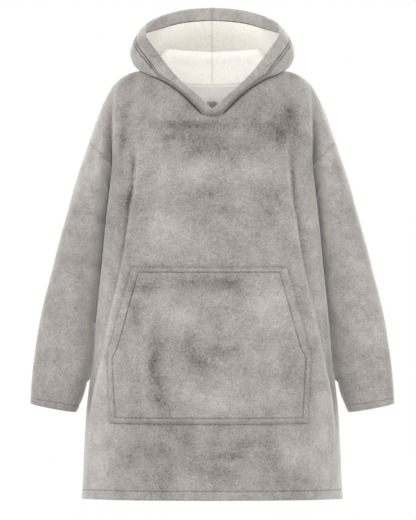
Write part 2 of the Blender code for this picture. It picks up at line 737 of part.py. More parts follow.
body_panel("front", -1, plush)
body_panel("back", 1, plush)
sleeve("sleeve_left", 1, plush)
sleeve("sleeve_right", -1, plush)
hood_half("hood_left", 1, plush)
hood_half("hood_right", -1, plush)
hood_lining_half("hood_lining_left", 1, fleece)
hood_lining_half("hood_lining_right", -1, fleece)
back_neck_lining("back_neck_lining", fleece)
pocket("pocket", plush)
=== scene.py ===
import math
import bpy
import numpy as np
from mathutils.bvhtree import BVHTree
from mathutils.kdtree import KDTree
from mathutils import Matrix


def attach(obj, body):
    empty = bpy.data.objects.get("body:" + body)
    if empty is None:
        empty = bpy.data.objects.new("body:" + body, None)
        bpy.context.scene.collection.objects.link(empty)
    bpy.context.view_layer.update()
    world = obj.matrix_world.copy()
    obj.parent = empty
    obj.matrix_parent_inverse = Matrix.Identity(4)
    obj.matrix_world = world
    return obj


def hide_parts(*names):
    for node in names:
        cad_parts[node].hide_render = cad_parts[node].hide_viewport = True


# A wearable blanket hoodie of grey plush with a cream fleece inside, filled out as it hangs from its
# wearer's shoulders with the hood down. Metres, the front faces -Y, the wearer's left is +X.
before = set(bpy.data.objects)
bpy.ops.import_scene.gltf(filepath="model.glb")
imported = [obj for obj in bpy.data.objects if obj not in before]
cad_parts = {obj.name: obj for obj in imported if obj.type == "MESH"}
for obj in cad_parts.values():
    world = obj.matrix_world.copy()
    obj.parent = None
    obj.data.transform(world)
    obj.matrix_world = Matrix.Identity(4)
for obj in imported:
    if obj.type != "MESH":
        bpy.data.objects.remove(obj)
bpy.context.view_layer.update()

# View and room: the camera looks straight at the front from 6 m, a little below the middle of the
# chest. The floor is a pale disc below the hem; broad soft lights hang above and to both sides.
CAMERA_PLACE = (-0.0092, -6.0, -0.399)
CAMERA_LENS_MM = 197.8
camera = bpy.data.objects.new("camera", bpy.data.cameras.new("camera"))
camera.data.lens = CAMERA_LENS_MM
camera.location = CAMERA_PLACE
camera.rotation_euler = (math.radians(90), 0.0, 0.0)
bpy.context.scene.collection.objects.link(camera)
bpy.context.scene.camera = camera
bpy.context.scene.view_settings.view_transform = "Standard"

FLOOR_HEIGHT = -1.25
FLOOR_RADIUS = 2.2
bpy.ops.mesh.primitive_cylinder_add(
    vertices=96, radius=FLOOR_RADIUS, depth=0.02, location=(0.0, 0.0, FLOOR_HEIGHT - 0.01)
)
floor = bpy.context.object
floor.name = "floor"
floor_paint = bpy.data.materials.new("floor_paint")
floor_paint.use_nodes = True
floor_shader = floor_paint.node_tree.nodes["Principled BSDF"]
floor_shader.inputs["Base Color"].default_value = (0.80, 0.80, 0.79, 1.0)
floor_shader.inputs["Roughness"].default_value = 0.9
floor.data.materials.append(floor_paint)

SOFT_LIGHTS = (
    ("name", "place", "aim", "size", "watts"),
    (
        ("key", (-1.9, -3.0, 1.7), (0.0, 0.0, -0.40), 2.2, 30.0),
        ("front", (0.2, -4.2, 0.5), (0.0, 0.0, -0.15), 1.6, 62.0),
        ("left side", (-3.0, -0.7, 0.1), (0.0, 0.0, -0.40), 2.4, 34.0),
        ("right side", (3.0, -0.7, 0.1), (0.0, 0.0, -0.45), 2.4, 34.0),
        ("top", (0.0, -0.6, 2.4), (0.0, 0.0, -0.20), 1.8, 12.0),
        ("back", (0.6, 3.2, 1.2), (0.0, 0.0, -0.40), 2.4, 40.0),
    ),
)


def aim_light(name, place, aim, size, watts):
    """A square soft light at place, facing aim."""
    lamp = bpy.data.lights.new(name, "AREA")
    lamp.size = size
    lamp.energy = watts
    light = bpy.data.objects.new(name, lamp)
    light.location = place
    way = bpy.data.objects.new(name, None).location
    way[:] = [a - p for a, p in zip(aim, place)]
    light.rotation_euler = way.to_track_quat("-Z", "Y").to_euler()
    bpy.context.scene.collection.objects.link(light)


for light_row in SOFT_LIGHTS[1]:
    aim_light(*light_row)

WORLD_LIGHT = 0.56
world = bpy.data.worlds.new("studio")
bpy.context.scene.world = world
world.use_nodes = True
studio = world.node_tree
seen_white = studio.nodes.new("ShaderNodeBackground")
seen_white.inputs["Color"].default_value = (1.0, 1.0, 1.0, 1.0)
seen_white.inputs["Strength"].default_value = 1.0
sent_light = studio.nodes["Background"]
sent_light.inputs["Color"].default_value = (1.0, 0.995, 0.985, 1.0)
sent_light.inputs["Strength"].default_value = WORLD_LIGHT
ray_kind = studio.nodes.new("ShaderNodeLightPath")
either = studio.nodes.new("ShaderNodeMixShader")
studio.links.new(ray_kind.outputs["Is Camera Ray"], either.inputs["Fac"])
studio.links.new(sent_light.outputs["Background"], either.inputs[1])
studio.links.new(seen_white.outputs["Background"], either.inputs[2])
studio.links.new(either.outputs["Shader"], studio.nodes["World Output"].inputs["Surface"])


# Front and back of the body: two panels of plush bonded to fleece, cut as one wide piece each with
# dropped shoulders. They are sewn together down both sides and along the shoulders, with a turned
# hem. The tables are the panels' own sizes, read on smooth curves.
SEAM_GAP = 0.0003
SHELL = 0.0035
GROOVE = 0.0011
PUFF = 0.0009
HEM_WIDTH = 0.0190
HEM_HEIGHT = -0.900
HEM_RISE_FRONT = 0.009
UNDERARM_HEIGHT = -0.200
ARM_HOLLOW = 0.060
FOLD_WIDTH_DEG = 4.5
FOLD_COLUMN = 0.58
NECK_COLUMN = 0.62
NECK_HALF_WIDTH = 0.152
NECK_FRONT = 0.122
NECK_BACK = 0.080
NECK_FLAT_HALF = 0.026
SEAM_MITRE = math.radians(25)
SEAM_TURNS_WITHIN = 0.014
SEAM_DIP = 0.0013
SEAM_DIP_WIDTH = 0.0035
ARMHOLE_TOP = np.array((0.2580, 0.0, -0.1500))
ARMHOLE_HALF_DEPTH = 0.086
ARMHOLE_LOW_OUT = 0.0012
ARMHOLE_LOW_DROP = 0.0035
SLEEVE_CLEARANCE = -0.0010

TORSO = (
    ("height", "half_width", "front", "back", "power", "press"),
    (
        (-0.900, 0.2735, 0.165, 0.150, 2.40, 0.000),
        (-0.800, 0.2690, 0.163, 0.148, 2.40, 0.000),
        (-0.700, 0.2640, 0.160, 0.146, 2.45, 0.000),
        (-0.620, 0.2585, 0.157, 0.143, 2.50, 0.005),
        (-0.520, 0.2520, 0.153, 0.139, 2.60, 0.008),
        (-0.400, 0.2410, 0.147, 0.133, 2.70, 0.010),
        (-0.330, 0.2350, 0.142, 0.129, 2.80, 0.012),
        (-0.250, 0.2270, 0.134, 0.124, 2.90, 0.013),
        (-0.200, 0.2220, 0.128, 0.120, 3.00, 0.014),
    ),
)

# The long fold from each underarm to the side of the hem: its place round the body, and its depth.
FOLD = (
    ("height", "angle", "front_depth", "back_depth"),
    (
        (-0.900, 64.0, 0.0000, 0.0000),
        (-0.780, 70.0, 0.0010, 0.0010),
        (-0.700, 69.0, 0.0070, 0.0050),
        (-0.610, 60.0, 0.0120, 0.0080),
        (-0.500, 51.0, 0.0150, 0.0100),
        (-0.400, 44.0, 0.0150, 0.0100),
        (-0.300, 39.5, 0.0115, 0.0080),
        (-0.200, 35.5, 0.0060, 0.0040),
    ),
)

# Above the underarm each column of cloth leaves the ring with the rise handle and meets the neck or
# shoulder seam with the fall handle. Out is away from the centre, fore is away from the shoulders.
HANDLES = (
    ("column", "rise_out", "rise_fore", "rise_up", "fall_out", "fall_fore", "fall_up"),
    (
        (0.00, 0.000, 0.002, 0.035, 0.000, 0.012, -0.032),
        (0.35, 0.000, 0.004, 0.050, 0.010, 0.026, -0.026),
        (0.60, 0.002, 0.012, 0.070, 0.016, 0.058, -0.016),
        (0.80, 0.006, 0.040, 0.060, 0.010, 0.082, -0.010),
        (0.92, -0.004, 0.060, 0.030, 0.010, 0.090, -0.014),
        (1.00, 0.002, 0.085, 0.000, 0.004, 0.080, -0.021),
    ),
)
SHOULDER = (
    ("out", "height"),
    ((0.152, -0.001), (0.163, -0.003), (0.179, -0.0085), (0.195, -0.019), (0.206, -0.029)),
)
NECK = (
    ("angle", "height"),
    (
        (0.0, -0.1010),
        (8.0, -0.0980),
        (14.0, -0.0830),
        (22.0, -0.0630),
        (32.0, -0.0430),
        (45.0, -0.0260),
        (60.0, -0.0140),
        (75.0, -0.0055),
        (90.0, -0.0010),
        (120.0, -0.0100),
        (150.0, -0.0240),
        (180.0, -0.0300),
    ),
)

# Sleeve sections, needed here for the cloth that runs over the arm into the sleeve.
SLEEVE = (
    ("along", "outer_x", "outer_z", "inner_x", "inner_z", "half_depth", "fore", "power"),
    (
        (0.00, 0.2580, -0.150, 0.2125, -0.2035, 0.086, 0.000, 2.0),
        (0.12, 0.2855, -0.231, 0.2200, -0.262, 0.082, 0.000, 2.1),
        (0.24, 0.3030, -0.295, 0.2270, -0.318, 0.078, 0.002, 2.2),
        (0.36, 0.3205, -0.357, 0.2330, -0.379, 0.075, 0.004, 2.3),
        (0.48, 0.3370, -0.424, 0.2410, -0.446, 0.072, 0.006, 2.3),
        (0.59, 0.3525, -0.483, 0.2475, -0.507, 0.069, 0.009, 2.3),
        (0.70, 0.3650, -0.546, 0.2535, -0.570, 0.065, 0.012, 2.3),
        (0.81, 0.3740, -0.609, 0.2595, -0.634, 0.060, 0.015, 2.3),
        (0.92, 0.3795, -0.668, 0.2700, -0.684, 0.053, 0.018, 2.3),
        (1.00, 0.3800, -0.699, 0.2850, -0.717, 0.048, 0.019, 2.3),
    ),
)
SLEEVE_LEAVES_BODY = -0.655


def column_of(table, name):
    """One named column of a table."""
    names, rows = table
    return np.array([row[names.index(name)] for row in rows], float)


def read(table, name, at):
    """A table's column where its first column is at, on a smooth curve through the rows."""
    xs, ys = column_of(table, table[0][0]), column_of(table, name)
    slopes = np.gradient(ys, xs)
    at = np.clip(at, xs[0], xs[-1])
    i = np.clip(np.searchsorted(xs, at) - 1, 0, len(xs) - 2)
    step = xs[i + 1] - xs[i]
    t = (at - xs[i]) / step
    start = ys[i] * (1 + 2 * t) + slopes[i] * step * t
    end = ys[i + 1] * (3 - 2 * t) - slopes[i + 1] * step * (1 - t)
    return start * (1 - t) ** 2 + end * t**2


def ease(t):
    """0 below 0, 1 above 1, with a smooth rise between them."""
    t = np.clip(t, 0.0, 1.0)
    return t * t * (3 - 2 * t)


def bezier(p0, p1, p2, p3, t):
    """Point at t on the curve from p0 to p3 with the handles p1 and p2."""
    t = np.asarray(t)[..., None]
    return p0 * (1 - t) ** 3 + 3 * p1 * t * (1 - t) ** 2 + 3 * p2 * t**2 * (1 - t) + p3 * t**3


def points(x, y, z):
    return np.stack(np.broadcast_arrays(x, y, z), axis=-1).astype(float)


def unit(vectors):
    return vectors / np.maximum(np.linalg.norm(vectors, axis=-1, keepdims=True), 1e-12)


def fold_relief(angle, height, side):
    """How far the long fold moves the cloth out from the plain ring."""
    name = "front_depth" if side < 0 else "back_depth"
    past = np.abs(angle) - read(FOLD, "angle", height)
    ridge = 0.5 * np.exp(-(((past + 3) / 6) ** 2))
    valley = np.clip(past / FOLD_WIDTH_DEG, 0, None)
    return read(FOLD, name, height) * (ridge - valley * np.exp(1 - valley))


def torso(angle, height, side):
    """Outer surface round the body. angle is 0 at the centre and 90 at the side seam; side is -1 at
    the front and 1 at the back."""
    turn = np.radians(angle)
    sine, cosine = np.sin(turn), np.abs(np.cos(turn))
    power = 2 / read(TORSO, "power", height)
    half = read(TORSO, "half_width", height)
    depth = read(TORSO, "front" if side < 0 else "back", height)
    x = half * np.sign(sine) * np.abs(sine) ** power
    y = side * depth * cosine**power
    x = x - np.sign(x) * read(TORSO, "press", height) * np.exp(-((y / ARM_HOLLOW) ** 4))
    normal = unit(points(x / half**2, y / depth**2, 0.0))
    return points(x, y, height) + normal * fold_relief(angle, height, side)[..., None]


def torso_side(height):
    """How far out the side seam lies."""
    return read(TORSO, "half_width", height) - read(TORSO, "press", height)


def column_angle(column, height):
    """Where a column of cloth lies round the body: one column follows the long fold."""
    fold = read(FOLD, "angle", height)
    inner = fold * column / FOLD_COLUMN
    outer = fold + (90 - fold) * (column - FOLD_COLUMN) / (1 - FOLD_COLUMN)
    return np.where(column <= FOLD_COLUMN, inner, outer)


def neck(angle):
    """The neck seam, 0 degrees at the centre front and 180 at the centre back."""
    turn = np.radians(angle)
    reach = np.where(np.cos(turn) > 0, NECK_FRONT, NECK_BACK)
    return points(NECK_HALF_WIDTH * np.sin(turn), -reach * np.cos(turn), read(NECK, "height", angle))


def neck_directions(angle):
    """The way into the cloth's thickness at the neck seam, and the way across the seam to the hood."""
    turn = np.radians(angle)
    out = points(np.sin(turn), -np.cos(turn), 0.0)
    up = np.array((0.0, 0.0, 1.0))
    tilt = (SEAM_MITRE * np.sin(turn) ** 2)[..., None]
    return -np.cos(tilt) * out - np.sin(tilt) * up, -np.sin(tilt) * out + np.cos(tilt) * up


def top_edge(column, side):
    """Where each column of cloth ends: the neck seam, then the shoulder seam."""
    quarter = 90 * np.clip(column / NECK_COLUMN, 0, 1)
    at_neck = neck(quarter if side < 0 else 180 - quarter)
    along = np.clip((column - NECK_COLUMN) / (1 - NECK_COLUMN), 0, 1)
    outs = column_of(SHOULDER, "out")
    out = outs[0] + (outs[-1] - outs[0]) * along
    on_shoulder = points(out, 0.0, read(SHOULDER, "height", out))
    return np.where((column <= NECK_COLUMN)[..., None], at_neck, on_shoulder)


def upper_body(column, up, side):
    """Outer surface from the underarm ring (up 0) to the neck and shoulder seams (up 1)."""
    start = torso(column_angle(column, UNDERARM_HEIGHT), np.full(column.shape, UNDERARM_HEIGHT), side)
    end = top_edge(column, side)
    rise, fall = (
        points(
            read(HANDLES, way + "_out", column),
            side * read(HANDLES, way + "_fore", column),
            read(HANDLES, way + "_up", column),
        )
        for way in ("rise", "fall")
    )
    return bezier(start, start + rise, end + fall, end, up)


def armhole_low():
    """The lowest point of the armhole, a little out from the body's side."""
    return np.array((torso_side(UNDERARM_HEIGHT) + ARMHOLE_LOW_OUT, 0.0, UNDERARM_HEIGHT - ARMHOLE_LOW_DROP))


def armhole(turn_deg, side):
    """The seam where a sleeve begins: 0 at the underarm, 180 on top of the arm."""
    turn = np.radians(turn_deg)
    across = armhole_low() + (ARMHOLE_TOP - armhole_low()) * (1 - np.cos(turn))[..., None] / 2
    return across + points(0.0, side * ARMHOLE_HALF_DEPTH * np.sin(turn), 0.0)


def armhole_inwards(turn_deg, side):
    """The way into the cloth's thickness at the armhole, in the seam's own plane."""
    turn = np.radians(turn_deg)
    reach = (ARMHOLE_TOP - armhole_low()) / 2
    inwards = reach / np.linalg.norm(reach) ** 2 * np.cos(turn)[..., None]
    return unit(inwards - points(0.0, side * np.sin(turn) / ARMHOLE_HALF_DEPTH, 0.0))


def armhole_down_the_arm():
    """Unit vector across the armhole seam, from the body to the sleeve."""
    reach = ARMHOLE_TOP - armhole_low()
    return unit(np.array((reach[2], 0.0, -reach[0])))


def sleeve_ring(turn_deg, along):
    """Outer surface of the left sleeve: 0 degrees at the body's side, 90 at the front."""
    turn = np.radians(turn_deg)
    power = 2 / read(SLEEVE, "power", along)
    cosine = np.sign(np.cos(turn)) * np.abs(np.cos(turn)) ** power
    sine = np.sign(np.sin(turn)) * np.abs(np.sin(turn)) ** power
    inner_z = read(SLEEVE, "inner_z", along)
    beside_body = torso_side(inner_z) + SLEEVE_CLEARANCE * np.clip(along / 0.1, 0, 1)
    inner_x = np.where(inner_z > SLEEVE_LEAVES_BODY, beside_body, read(SLEEVE, "inner_x", along))
    inner = points(inner_x, 0.0, inner_z)
    outer = points(read(SLEEVE, "outer_x", along), 0.0, read(SLEEVE, "outer_z", along))
    across = inner + (outer - inner) * (1 - cosine)[..., None] / 2
    depth = -read(SLEEVE, "fore", along) - read(SLEEVE, "half_depth", along) * sine
    return across + points(0.0, depth, 0.0)


def arm_cap(out, up, side):
    """Outer surface from the valley beside the arm (out 0) to the armhole seam (out 1)."""
    valley = upper_body(np.ones(up.shape), up, side)
    seam = armhole(180 * up, side)
    length = np.linalg.norm(seam - valley, axis=-1, keepdims=True)
    swell = 0.010 * np.sin(np.pi * up)
    leave = valley + (seam - valley) / 3
    leave = leave + points(0.4 * swell + 0.006 * up**2, side * swell, 0.3 * swell + 0.012 * up**2)
    along_arm = sleeve_ring(180 * up if side < 0 else 360 - 180 * up, np.full(up.shape, 0.12)) - seam
    arrive = seam - length * unit(along_arm) / 3
    return bezier(valley, leave, arrive, seam, out)


def grid_faces(ids):
    """Quads over a grid of vertex numbers."""
    return np.stack((ids[:-1, :-1], ids[:-1, 1:], ids[1:, 1:], ids[1:, :-1]), axis=-1).reshape(-1, 4)


def vertex_normals(verts, faces):
    """Unit normals, each the sum of the normals of the quads round the vertex."""
    corners = verts[faces]
    across = np.cross(corners[:, 2] - corners[:, 0], corners[:, 3] - corners[:, 1])
    normals = np.zeros_like(verts)
    for corner in range(4):
        for axis in range(3):
            normals[:, axis] += np.bincount(faces[:, corner], across[:, axis], len(verts))
    return unit(normals)


def smoothed(verts, faces, freedom, rounds):
    """Moves each vertex towards the middle of its neighbours, by half the way times its freedom."""
    ends = np.concatenate([faces[:, [i, (i + 1) % 4]] for i in range(4)])
    ends = np.unique(np.sort(ends, axis=1), axis=0)
    a, b = np.concatenate((ends[:, 0], ends[:, 1])), np.concatenate((ends[:, 1], ends[:, 0]))
    count = np.maximum(np.bincount(a, minlength=len(verts)), 1)
    for _ in range(rounds):
        middle = np.stack([np.bincount(a, verts[b, axis], len(verts)) for axis in range(3)], axis=1)
        verts = verts + 0.5 * freedom[:, None] * (middle / count[:, None] - verts)
    return verts


def nearest(verts, to):
    """For each vertex, the number of the nearest of some points and its distance."""
    tree = KDTree(len(to))
    for i, place in enumerate(to.tolist()):
        tree.insert(place, i)
    tree.balance()
    found = [tree.find(place)[1:] for place in verts.tolist()]
    return np.array([f[0] for f in found]), np.array([f[1] for f in found])


def turned_ways(verts, ways, seam, seam_ways, within):
    """The ways through the cloth, turned towards the seam's own ways close to the seam."""
    which, distance = nearest(verts, seam)
    share = (np.clip(1 - distance / within, 0, 1) ** 2)[:, None]
    return unit(ways * (1 - share) + seam_ways[which] * share), distance


def turned_edge(distance, width, half_thickness):
    """Relief of a turned edge: it is full between its stitching and its rounded border."""
    body = np.clip(distance / width, 0, 1)
    full = PUFF * np.sin(np.pi * np.clip(body, 0.25, 1.0)) ** 0.5
    stitched = GROOVE * np.exp(-(((distance - width) / 0.0016) ** 2))
    past = np.clip(half_thickness - distance, 0, 0.9 * half_thickness)
    rounded = half_thickness - np.sqrt(half_thickness**2 - past**2)
    return full - stitched, rounded


def make_cloth(name, verts, faces, ways, thickness, relief, marks, inside, linings):
    """A wall of cloth. verts and faces are its outer side and ways leads through it; relief moves the
    outer side out. marks are point attributes: how the pile is brushed, with painted light added, and
    painted shade in grooves and crevices, painted lighter where it is below zero. Faces of the inner
    side where inside is true get the second of the linings."""
    count = len(verts)
    outer = verts - ways * np.broadcast_to(relief, count)[:, None]
    inner = verts + ways * np.broadcast_to(thickness, count)[:, None]
    directed = np.concatenate([faces[:, [i, (i + 1) % 4]] for i in range(4)])
    codes, back = directed[:, 0] * count + directed[:, 1], directed[:, 1] * count + directed[:, 0]
    border = directed[~np.isin(back, codes)]
    rim = np.stack((border[:, 1], border[:, 0], border[:, 0] + count, border[:, 1] + count), axis=1)
    all_faces = np.concatenate((faces, faces[:, ::-1] + count, rim))
    mesh = bpy.data.meshes.new(name)
    mesh.from_pydata(np.concatenate((outer, inner)).tolist(), [], all_faces.tolist())
    mesh.update()
    mesh.shade_smooth()
    for lining in linings:
        mesh.materials.append(lining)
    slots = np.zeros(len(all_faces), np.int32)
    slots[len(faces) : 2 * len(faces)] = np.broadcast_to(inside, count)[faces].all(axis=1)
    mesh.polygons.foreach_set("material_index", slots)
    for mark, values in zip(("nap_and_painted_light", "painted_shade_and_light"), marks):
        kept = mesh.attributes.new(mark, "FLOAT", "POINT")
        kept.data.foreach_set("value", np.tile(np.broadcast_to(values, count), 2).astype(np.float32))
    piece = bpy.data.objects.new(name, mesh)
    bpy.context.scene.collection.objects.link(piece)
    return piece


def stroke_distance(x, z, path):
    """Distance in front view from a line of points, the share of the line's length that is passed
    there, and on which side the point lies."""
    best = np.full(x.shape, 9.0)
    along, hand = np.zeros(x.shape), np.zeros(x.shape)
    runs = [math.dist(a, b) for a, b in zip(path, path[1:])]
    done = 0.0
    for (ax, az), (bx, bz), run in zip(path, path[1:], runs):
        t = np.clip(((x - ax) * (bx - ax) + (z - az) * (bz - az)) / run**2, 0, 1)
        away = np.hypot(x - ax - t * (bx - ax), z - az - t * (bz - az))
        closer = away < best
        best = np.where(closer, away, best)
        along = np.where(closer, (done + t * run) / sum(runs), along)
        hand = np.where(closer, np.sign((x - ax) * (bz - az) - (z - az) * (bx - ax)), hand)
        done += run
    return best, along, hand


def crease_relief(x, z, creases):
    """Sum of soft troughs, each with a lower ridge beside it, fading at both ends."""
    relief = np.zeros(x.shape)
    for path, width, depth, ridge in creases:
        away, along, hand = stroke_distance(x, z, path)
        fade = ease(along / 0.3) * ease((1 - along) / 0.3)
        beside = away * hand * np.sign(ridge) / width
        trough = np.exp(-((away / width) ** 2)) - abs(ridge) * np.exp(-(((beside - 1.7) / 1.1) ** 2))
        relief = relief - depth * fade * trough
    return relief


# Creases of the front as (points seen from the front, half width, depth, ridge beside it).
FRONT_CREASES = (
    (((-0.077, -0.092), (-0.047, -0.102), (-0.020, -0.118), (0.008, -0.120), (0.041, -0.104), (0.064, -0.092)), 0.009, 0.0022, 0.5),
    (((-0.146, -0.018), (-0.132, -0.037), (-0.123, -0.052), (-0.114, -0.062)), 0.006, 0.0030, -0.6),
    (((0.146, -0.016), (0.137, -0.034), (0.128, -0.052)), 0.006, 0.0022, 0.6),
    (((0.073, -0.260), (0.093, -0.311), (0.107, -0.399)), 0.014, 0.0020, 0.5),
    (((-0.095, -0.235), (-0.118, -0.300), (-0.120, -0.372)), 0.016, 0.0018, -0.5),
    (((-0.229, -0.736), (-0.245, -0.790), (-0.262, -0.842)), 0.014, 0.0030, 0.6),
    (((0.235, -0.730), (0.247, -0.790), (0.260, -0.850)), 0.014, 0.0026, -0.6),
    (((-0.200, -0.215), (-0.165, -0.255), (-0.140, -0.310)), 0.012, 0.0024, 0.6),
    (((0.200, -0.215), (0.170, -0.262), (0.150, -0.330)), 0.012, 0.0024, -0.6),
    (((-0.040, -0.755), (-0.052, -0.810), (-0.048, -0.880)), 0.022, 0.0020, 0.5),
    (((0.085, -0.750), (0.098, -0.815), (0.094, -0.885)), 0.024, 0.0022, -0.5),
    (((-0.150, -0.752), (-0.160, -0.810), (-0.170, -0.880)), 0.020, 0.0018, 0.5),
)
BACK_CREASES = (
    (((-0.060, -0.300), (-0.072, -0.440), (-0.064, -0.600)), 0.022, 0.0026, 0.5),
    (((0.052, -0.360), (0.068, -0.520), (0.070, -0.720)), 0.024, 0.0028, -0.5),
    (((-0.150, -0.560), (-0.166, -0.700), (-0.168, -0.870)), 0.020, 0.0026, -0.5),
    (((0.158, -0.620), (0.164, -0.740), (0.160, -0.880)), 0.020, 0.0024, 0.5),
    (((-0.195, -0.220), (-0.160, -0.270), (-0.130, -0.350)), 0.013, 0.0028, 0.6),
    (((0.195, -0.220), (0.162, -0.276), (0.138, -0.350)), 0.013, 0.0026, -0.6),
    (((-0.006, -0.700), (0.004, -0.790), (0.000, -0.885)), 0.020, 0.0020, 0.5),
)

# Where the pile is brushed one way or the other: centre and half size as seen from the front, tilt
# from the vertical in degrees, and strength, dark below zero.
FRONT_NAP = (
    ("x", "z", "half_width", "half_length", "tilt", "strength"),
    (
        (-0.045, -0.122, 0.075, 0.012, 0.0, -0.50),
        (-0.065, -0.146, 0.050, 0.010, 0.0, -0.45),
        (-0.020, -0.165, 0.080, 0.030, 0.0, -0.25),
        (0.128, -0.130, 0.040, 0.034, 0.0, -0.35),
        (0.140, -0.160, 0.020, 0.030, 20.0, -0.35),
        (-0.185, -0.145, 0.010, 0.055, -6.0, -0.45),
        (0.165, -0.110, 0.016, 0.060, 8.0, -0.45),
        (0.005, -0.262, 0.040, 0.020, 0.0, -0.45),
        (0.020, -0.298, 0.030, 0.012, 0.0, -0.40),
        (0.110, -0.280, 0.022, 0.040, 12.0, -0.35),
        (0.010, -0.588, 0.044, 0.012, 0.0, -0.42),
        (-0.020, -0.612, 0.030, 0.012, -20.0, -0.40),
        (-0.112, -0.650, 0.014, 0.060, 8.0, -0.55),
        (-0.150, -0.455, 0.030, 0.016, 0.0, -0.45),
        (-0.118, -0.570, 0.014, 0.060, -6.0, -0.35),
        (0.040, -0.452, 0.020, 0.022, 0.0, -0.28),
        (-0.020, -0.448, 0.090, 0.016, 0.0, -0.30),
        (-0.160, -0.495, 0.012, 0.052, 12.0, -0.45),
        (0.030, -0.800, 0.055, 0.010, 0.0, -0.50),
        (0.045, -0.775, 0.060, 0.010, 0.0, -0.35),
        (0.020, -0.835, 0.030, 0.034, 0.0, -0.45),
        (0.125, -0.805, 0.020, 0.050, 14.0, -0.35),
        (-0.160, -0.800, 0.035, 0.040, 8.0, -0.35),
        (-0.100, -0.820, 0.022, 0.050, 0.0, -0.35),
        (-0.040, -0.215, 0.070, 0.022, 0.0, 0.35),
        (0.110, -0.210, 0.040, 0.030, 0.0, 0.30),
        (-0.110, -0.330, 0.050, 0.045, 0.0, 0.30),
        (0.110, -0.500, 0.050, 0.060, 0.0, 0.35),
        (-0.060, -0.520, 0.050, 0.030, 0.0, 0.30),
        (0.020, -0.690, 0.060, 0.022, 0.0, 0.35),
        (0.160, -0.800, 0.045, 0.040, 0.0, 0.30),
    ),
)


def brushed(x, z, table):
    """Sum of soft brushed patches."""
    nap_and_painted_light = np.zeros(x.shape)
    for cx, cz, half_width, half_length, tilt, strength in table[1]:
        turn = math.radians(tilt)
        across = (x - cx) * math.cos(turn) + (z - cz) * math.sin(turn)
        down = (z - cz) * math.cos(turn) - (x - cx) * math.sin(turn)
        nap_and_painted_light = nap_and_painted_light + strength * np.exp(-((across / half_width) ** 2) - (down / half_length) ** 2)
    return nap_and_painted_light


def plush_material(name, dark, light):
    """Short thick pile: patches brushed dark or light, fine grain, painted light and shade from the point marks,
    and a pale rim as on velvet.
    """
    material = bpy.data.materials.new(name)
    material.use_nodes = True
    tree = material.node_tree
    nodes, links = tree.nodes, tree.links
    shader = nodes["Principled BSDF"]
    shader.inputs["Roughness"].default_value = 0.92
    shader.inputs["Specular IOR Level"].default_value = 0.12
    shader.inputs["Sheen Weight"].default_value = 1.0
    shader.inputs["Sheen Roughness"].default_value = 0.35
    shader.inputs["Sheen Tint"].default_value = (0.98, 0.96, 0.94, 1.0)
    place = nodes.new("ShaderNodeTexCoord")
    nap_and_painted_light = nodes.new("ShaderNodeAttribute")
    nap_and_painted_light.attribute_name = "nap_and_painted_light"

    def noise(scale, detail, rough=0.5):
        node = nodes.new("ShaderNodeTexNoise")
        node.inputs["Scale"].default_value = scale
        node.inputs["Detail"].default_value = detail
        node.inputs["Roughness"].default_value = rough
        links.new(place.outputs["Object"], node.inputs["Vector"])
        return node.outputs["Fac"]

    def combine(operation, a, b):
        node = nodes.new("ShaderNodeMath")
        node.operation = operation
        for socket, value in zip(node.inputs, (a, b)):
            if isinstance(value, float):
                socket.default_value = value
            else:
                links.new(value, socket)
        return node.outputs["Value"]

    patches = combine("MULTIPLY", combine("SUBTRACT", noise(6.5, 4.0, 0.55), 0.5), 0.55)
    strokes = combine("MULTIPLY", combine("SUBTRACT", noise(26.0, 3.0, 0.55), 0.5), 0.40)
    grain = combine("MULTIPLY", combine("SUBTRACT", noise(330.0, 3.0, 0.75), 0.5), 1.25)
    tufts = combine("MULTIPLY", combine("SUBTRACT", noise(110.0, 2.0), 0.5), 0.25)
    broken = combine("MULTIPLY", nap_and_painted_light.outputs["Fac"], combine("MULTIPLY", noise(34.0, 4.0, 0.7), 1.0))
    shade = combine("ADD", combine("ADD", patches, strokes), combine("ADD", grain, tufts))
    shade = combine("ADD", combine("ADD", shade, broken), 0.49)
    painted_shade_and_light_node = nodes.new("ShaderNodeAttribute")
    painted_shade_and_light_node.attribute_name = "painted_shade_and_light"
    shade = combine("SUBTRACT", shade, painted_shade_and_light_node.outputs["Fac"])
    ramp = nodes.new("ShaderNodeValToRGB")
    ramp.color_ramp.elements[0].color = tuple(0.36 * value for value in dark) + (1.0,)
    ramp.color_ramp.elements[0].position = 0.0
    ramp.color_ramp.elements[1].color = (*light, 1.0)
    middle = ramp.color_ramp.elements.new(0.30)
    middle.color = (*dark, 1.0)
    links.new(shade, ramp.inputs["Fac"])
    links.new(ramp.outputs["Color"], shader.inputs["Base Color"])
    pile = combine("ADD", noise(420.0, 2.0, 0.7), combine("MULTIPLY", noise(1100.0, 1.0), 0.7))
    bump = nodes.new("ShaderNodeBump")
    bump.inputs["Strength"].default_value = 0.35
    bump.inputs["Distance"].default_value = 0.0012
    links.new(pile, bump.inputs["Height"])
    links.new(bump.outputs["Normal"], shader.inputs["Normal"])
    return material


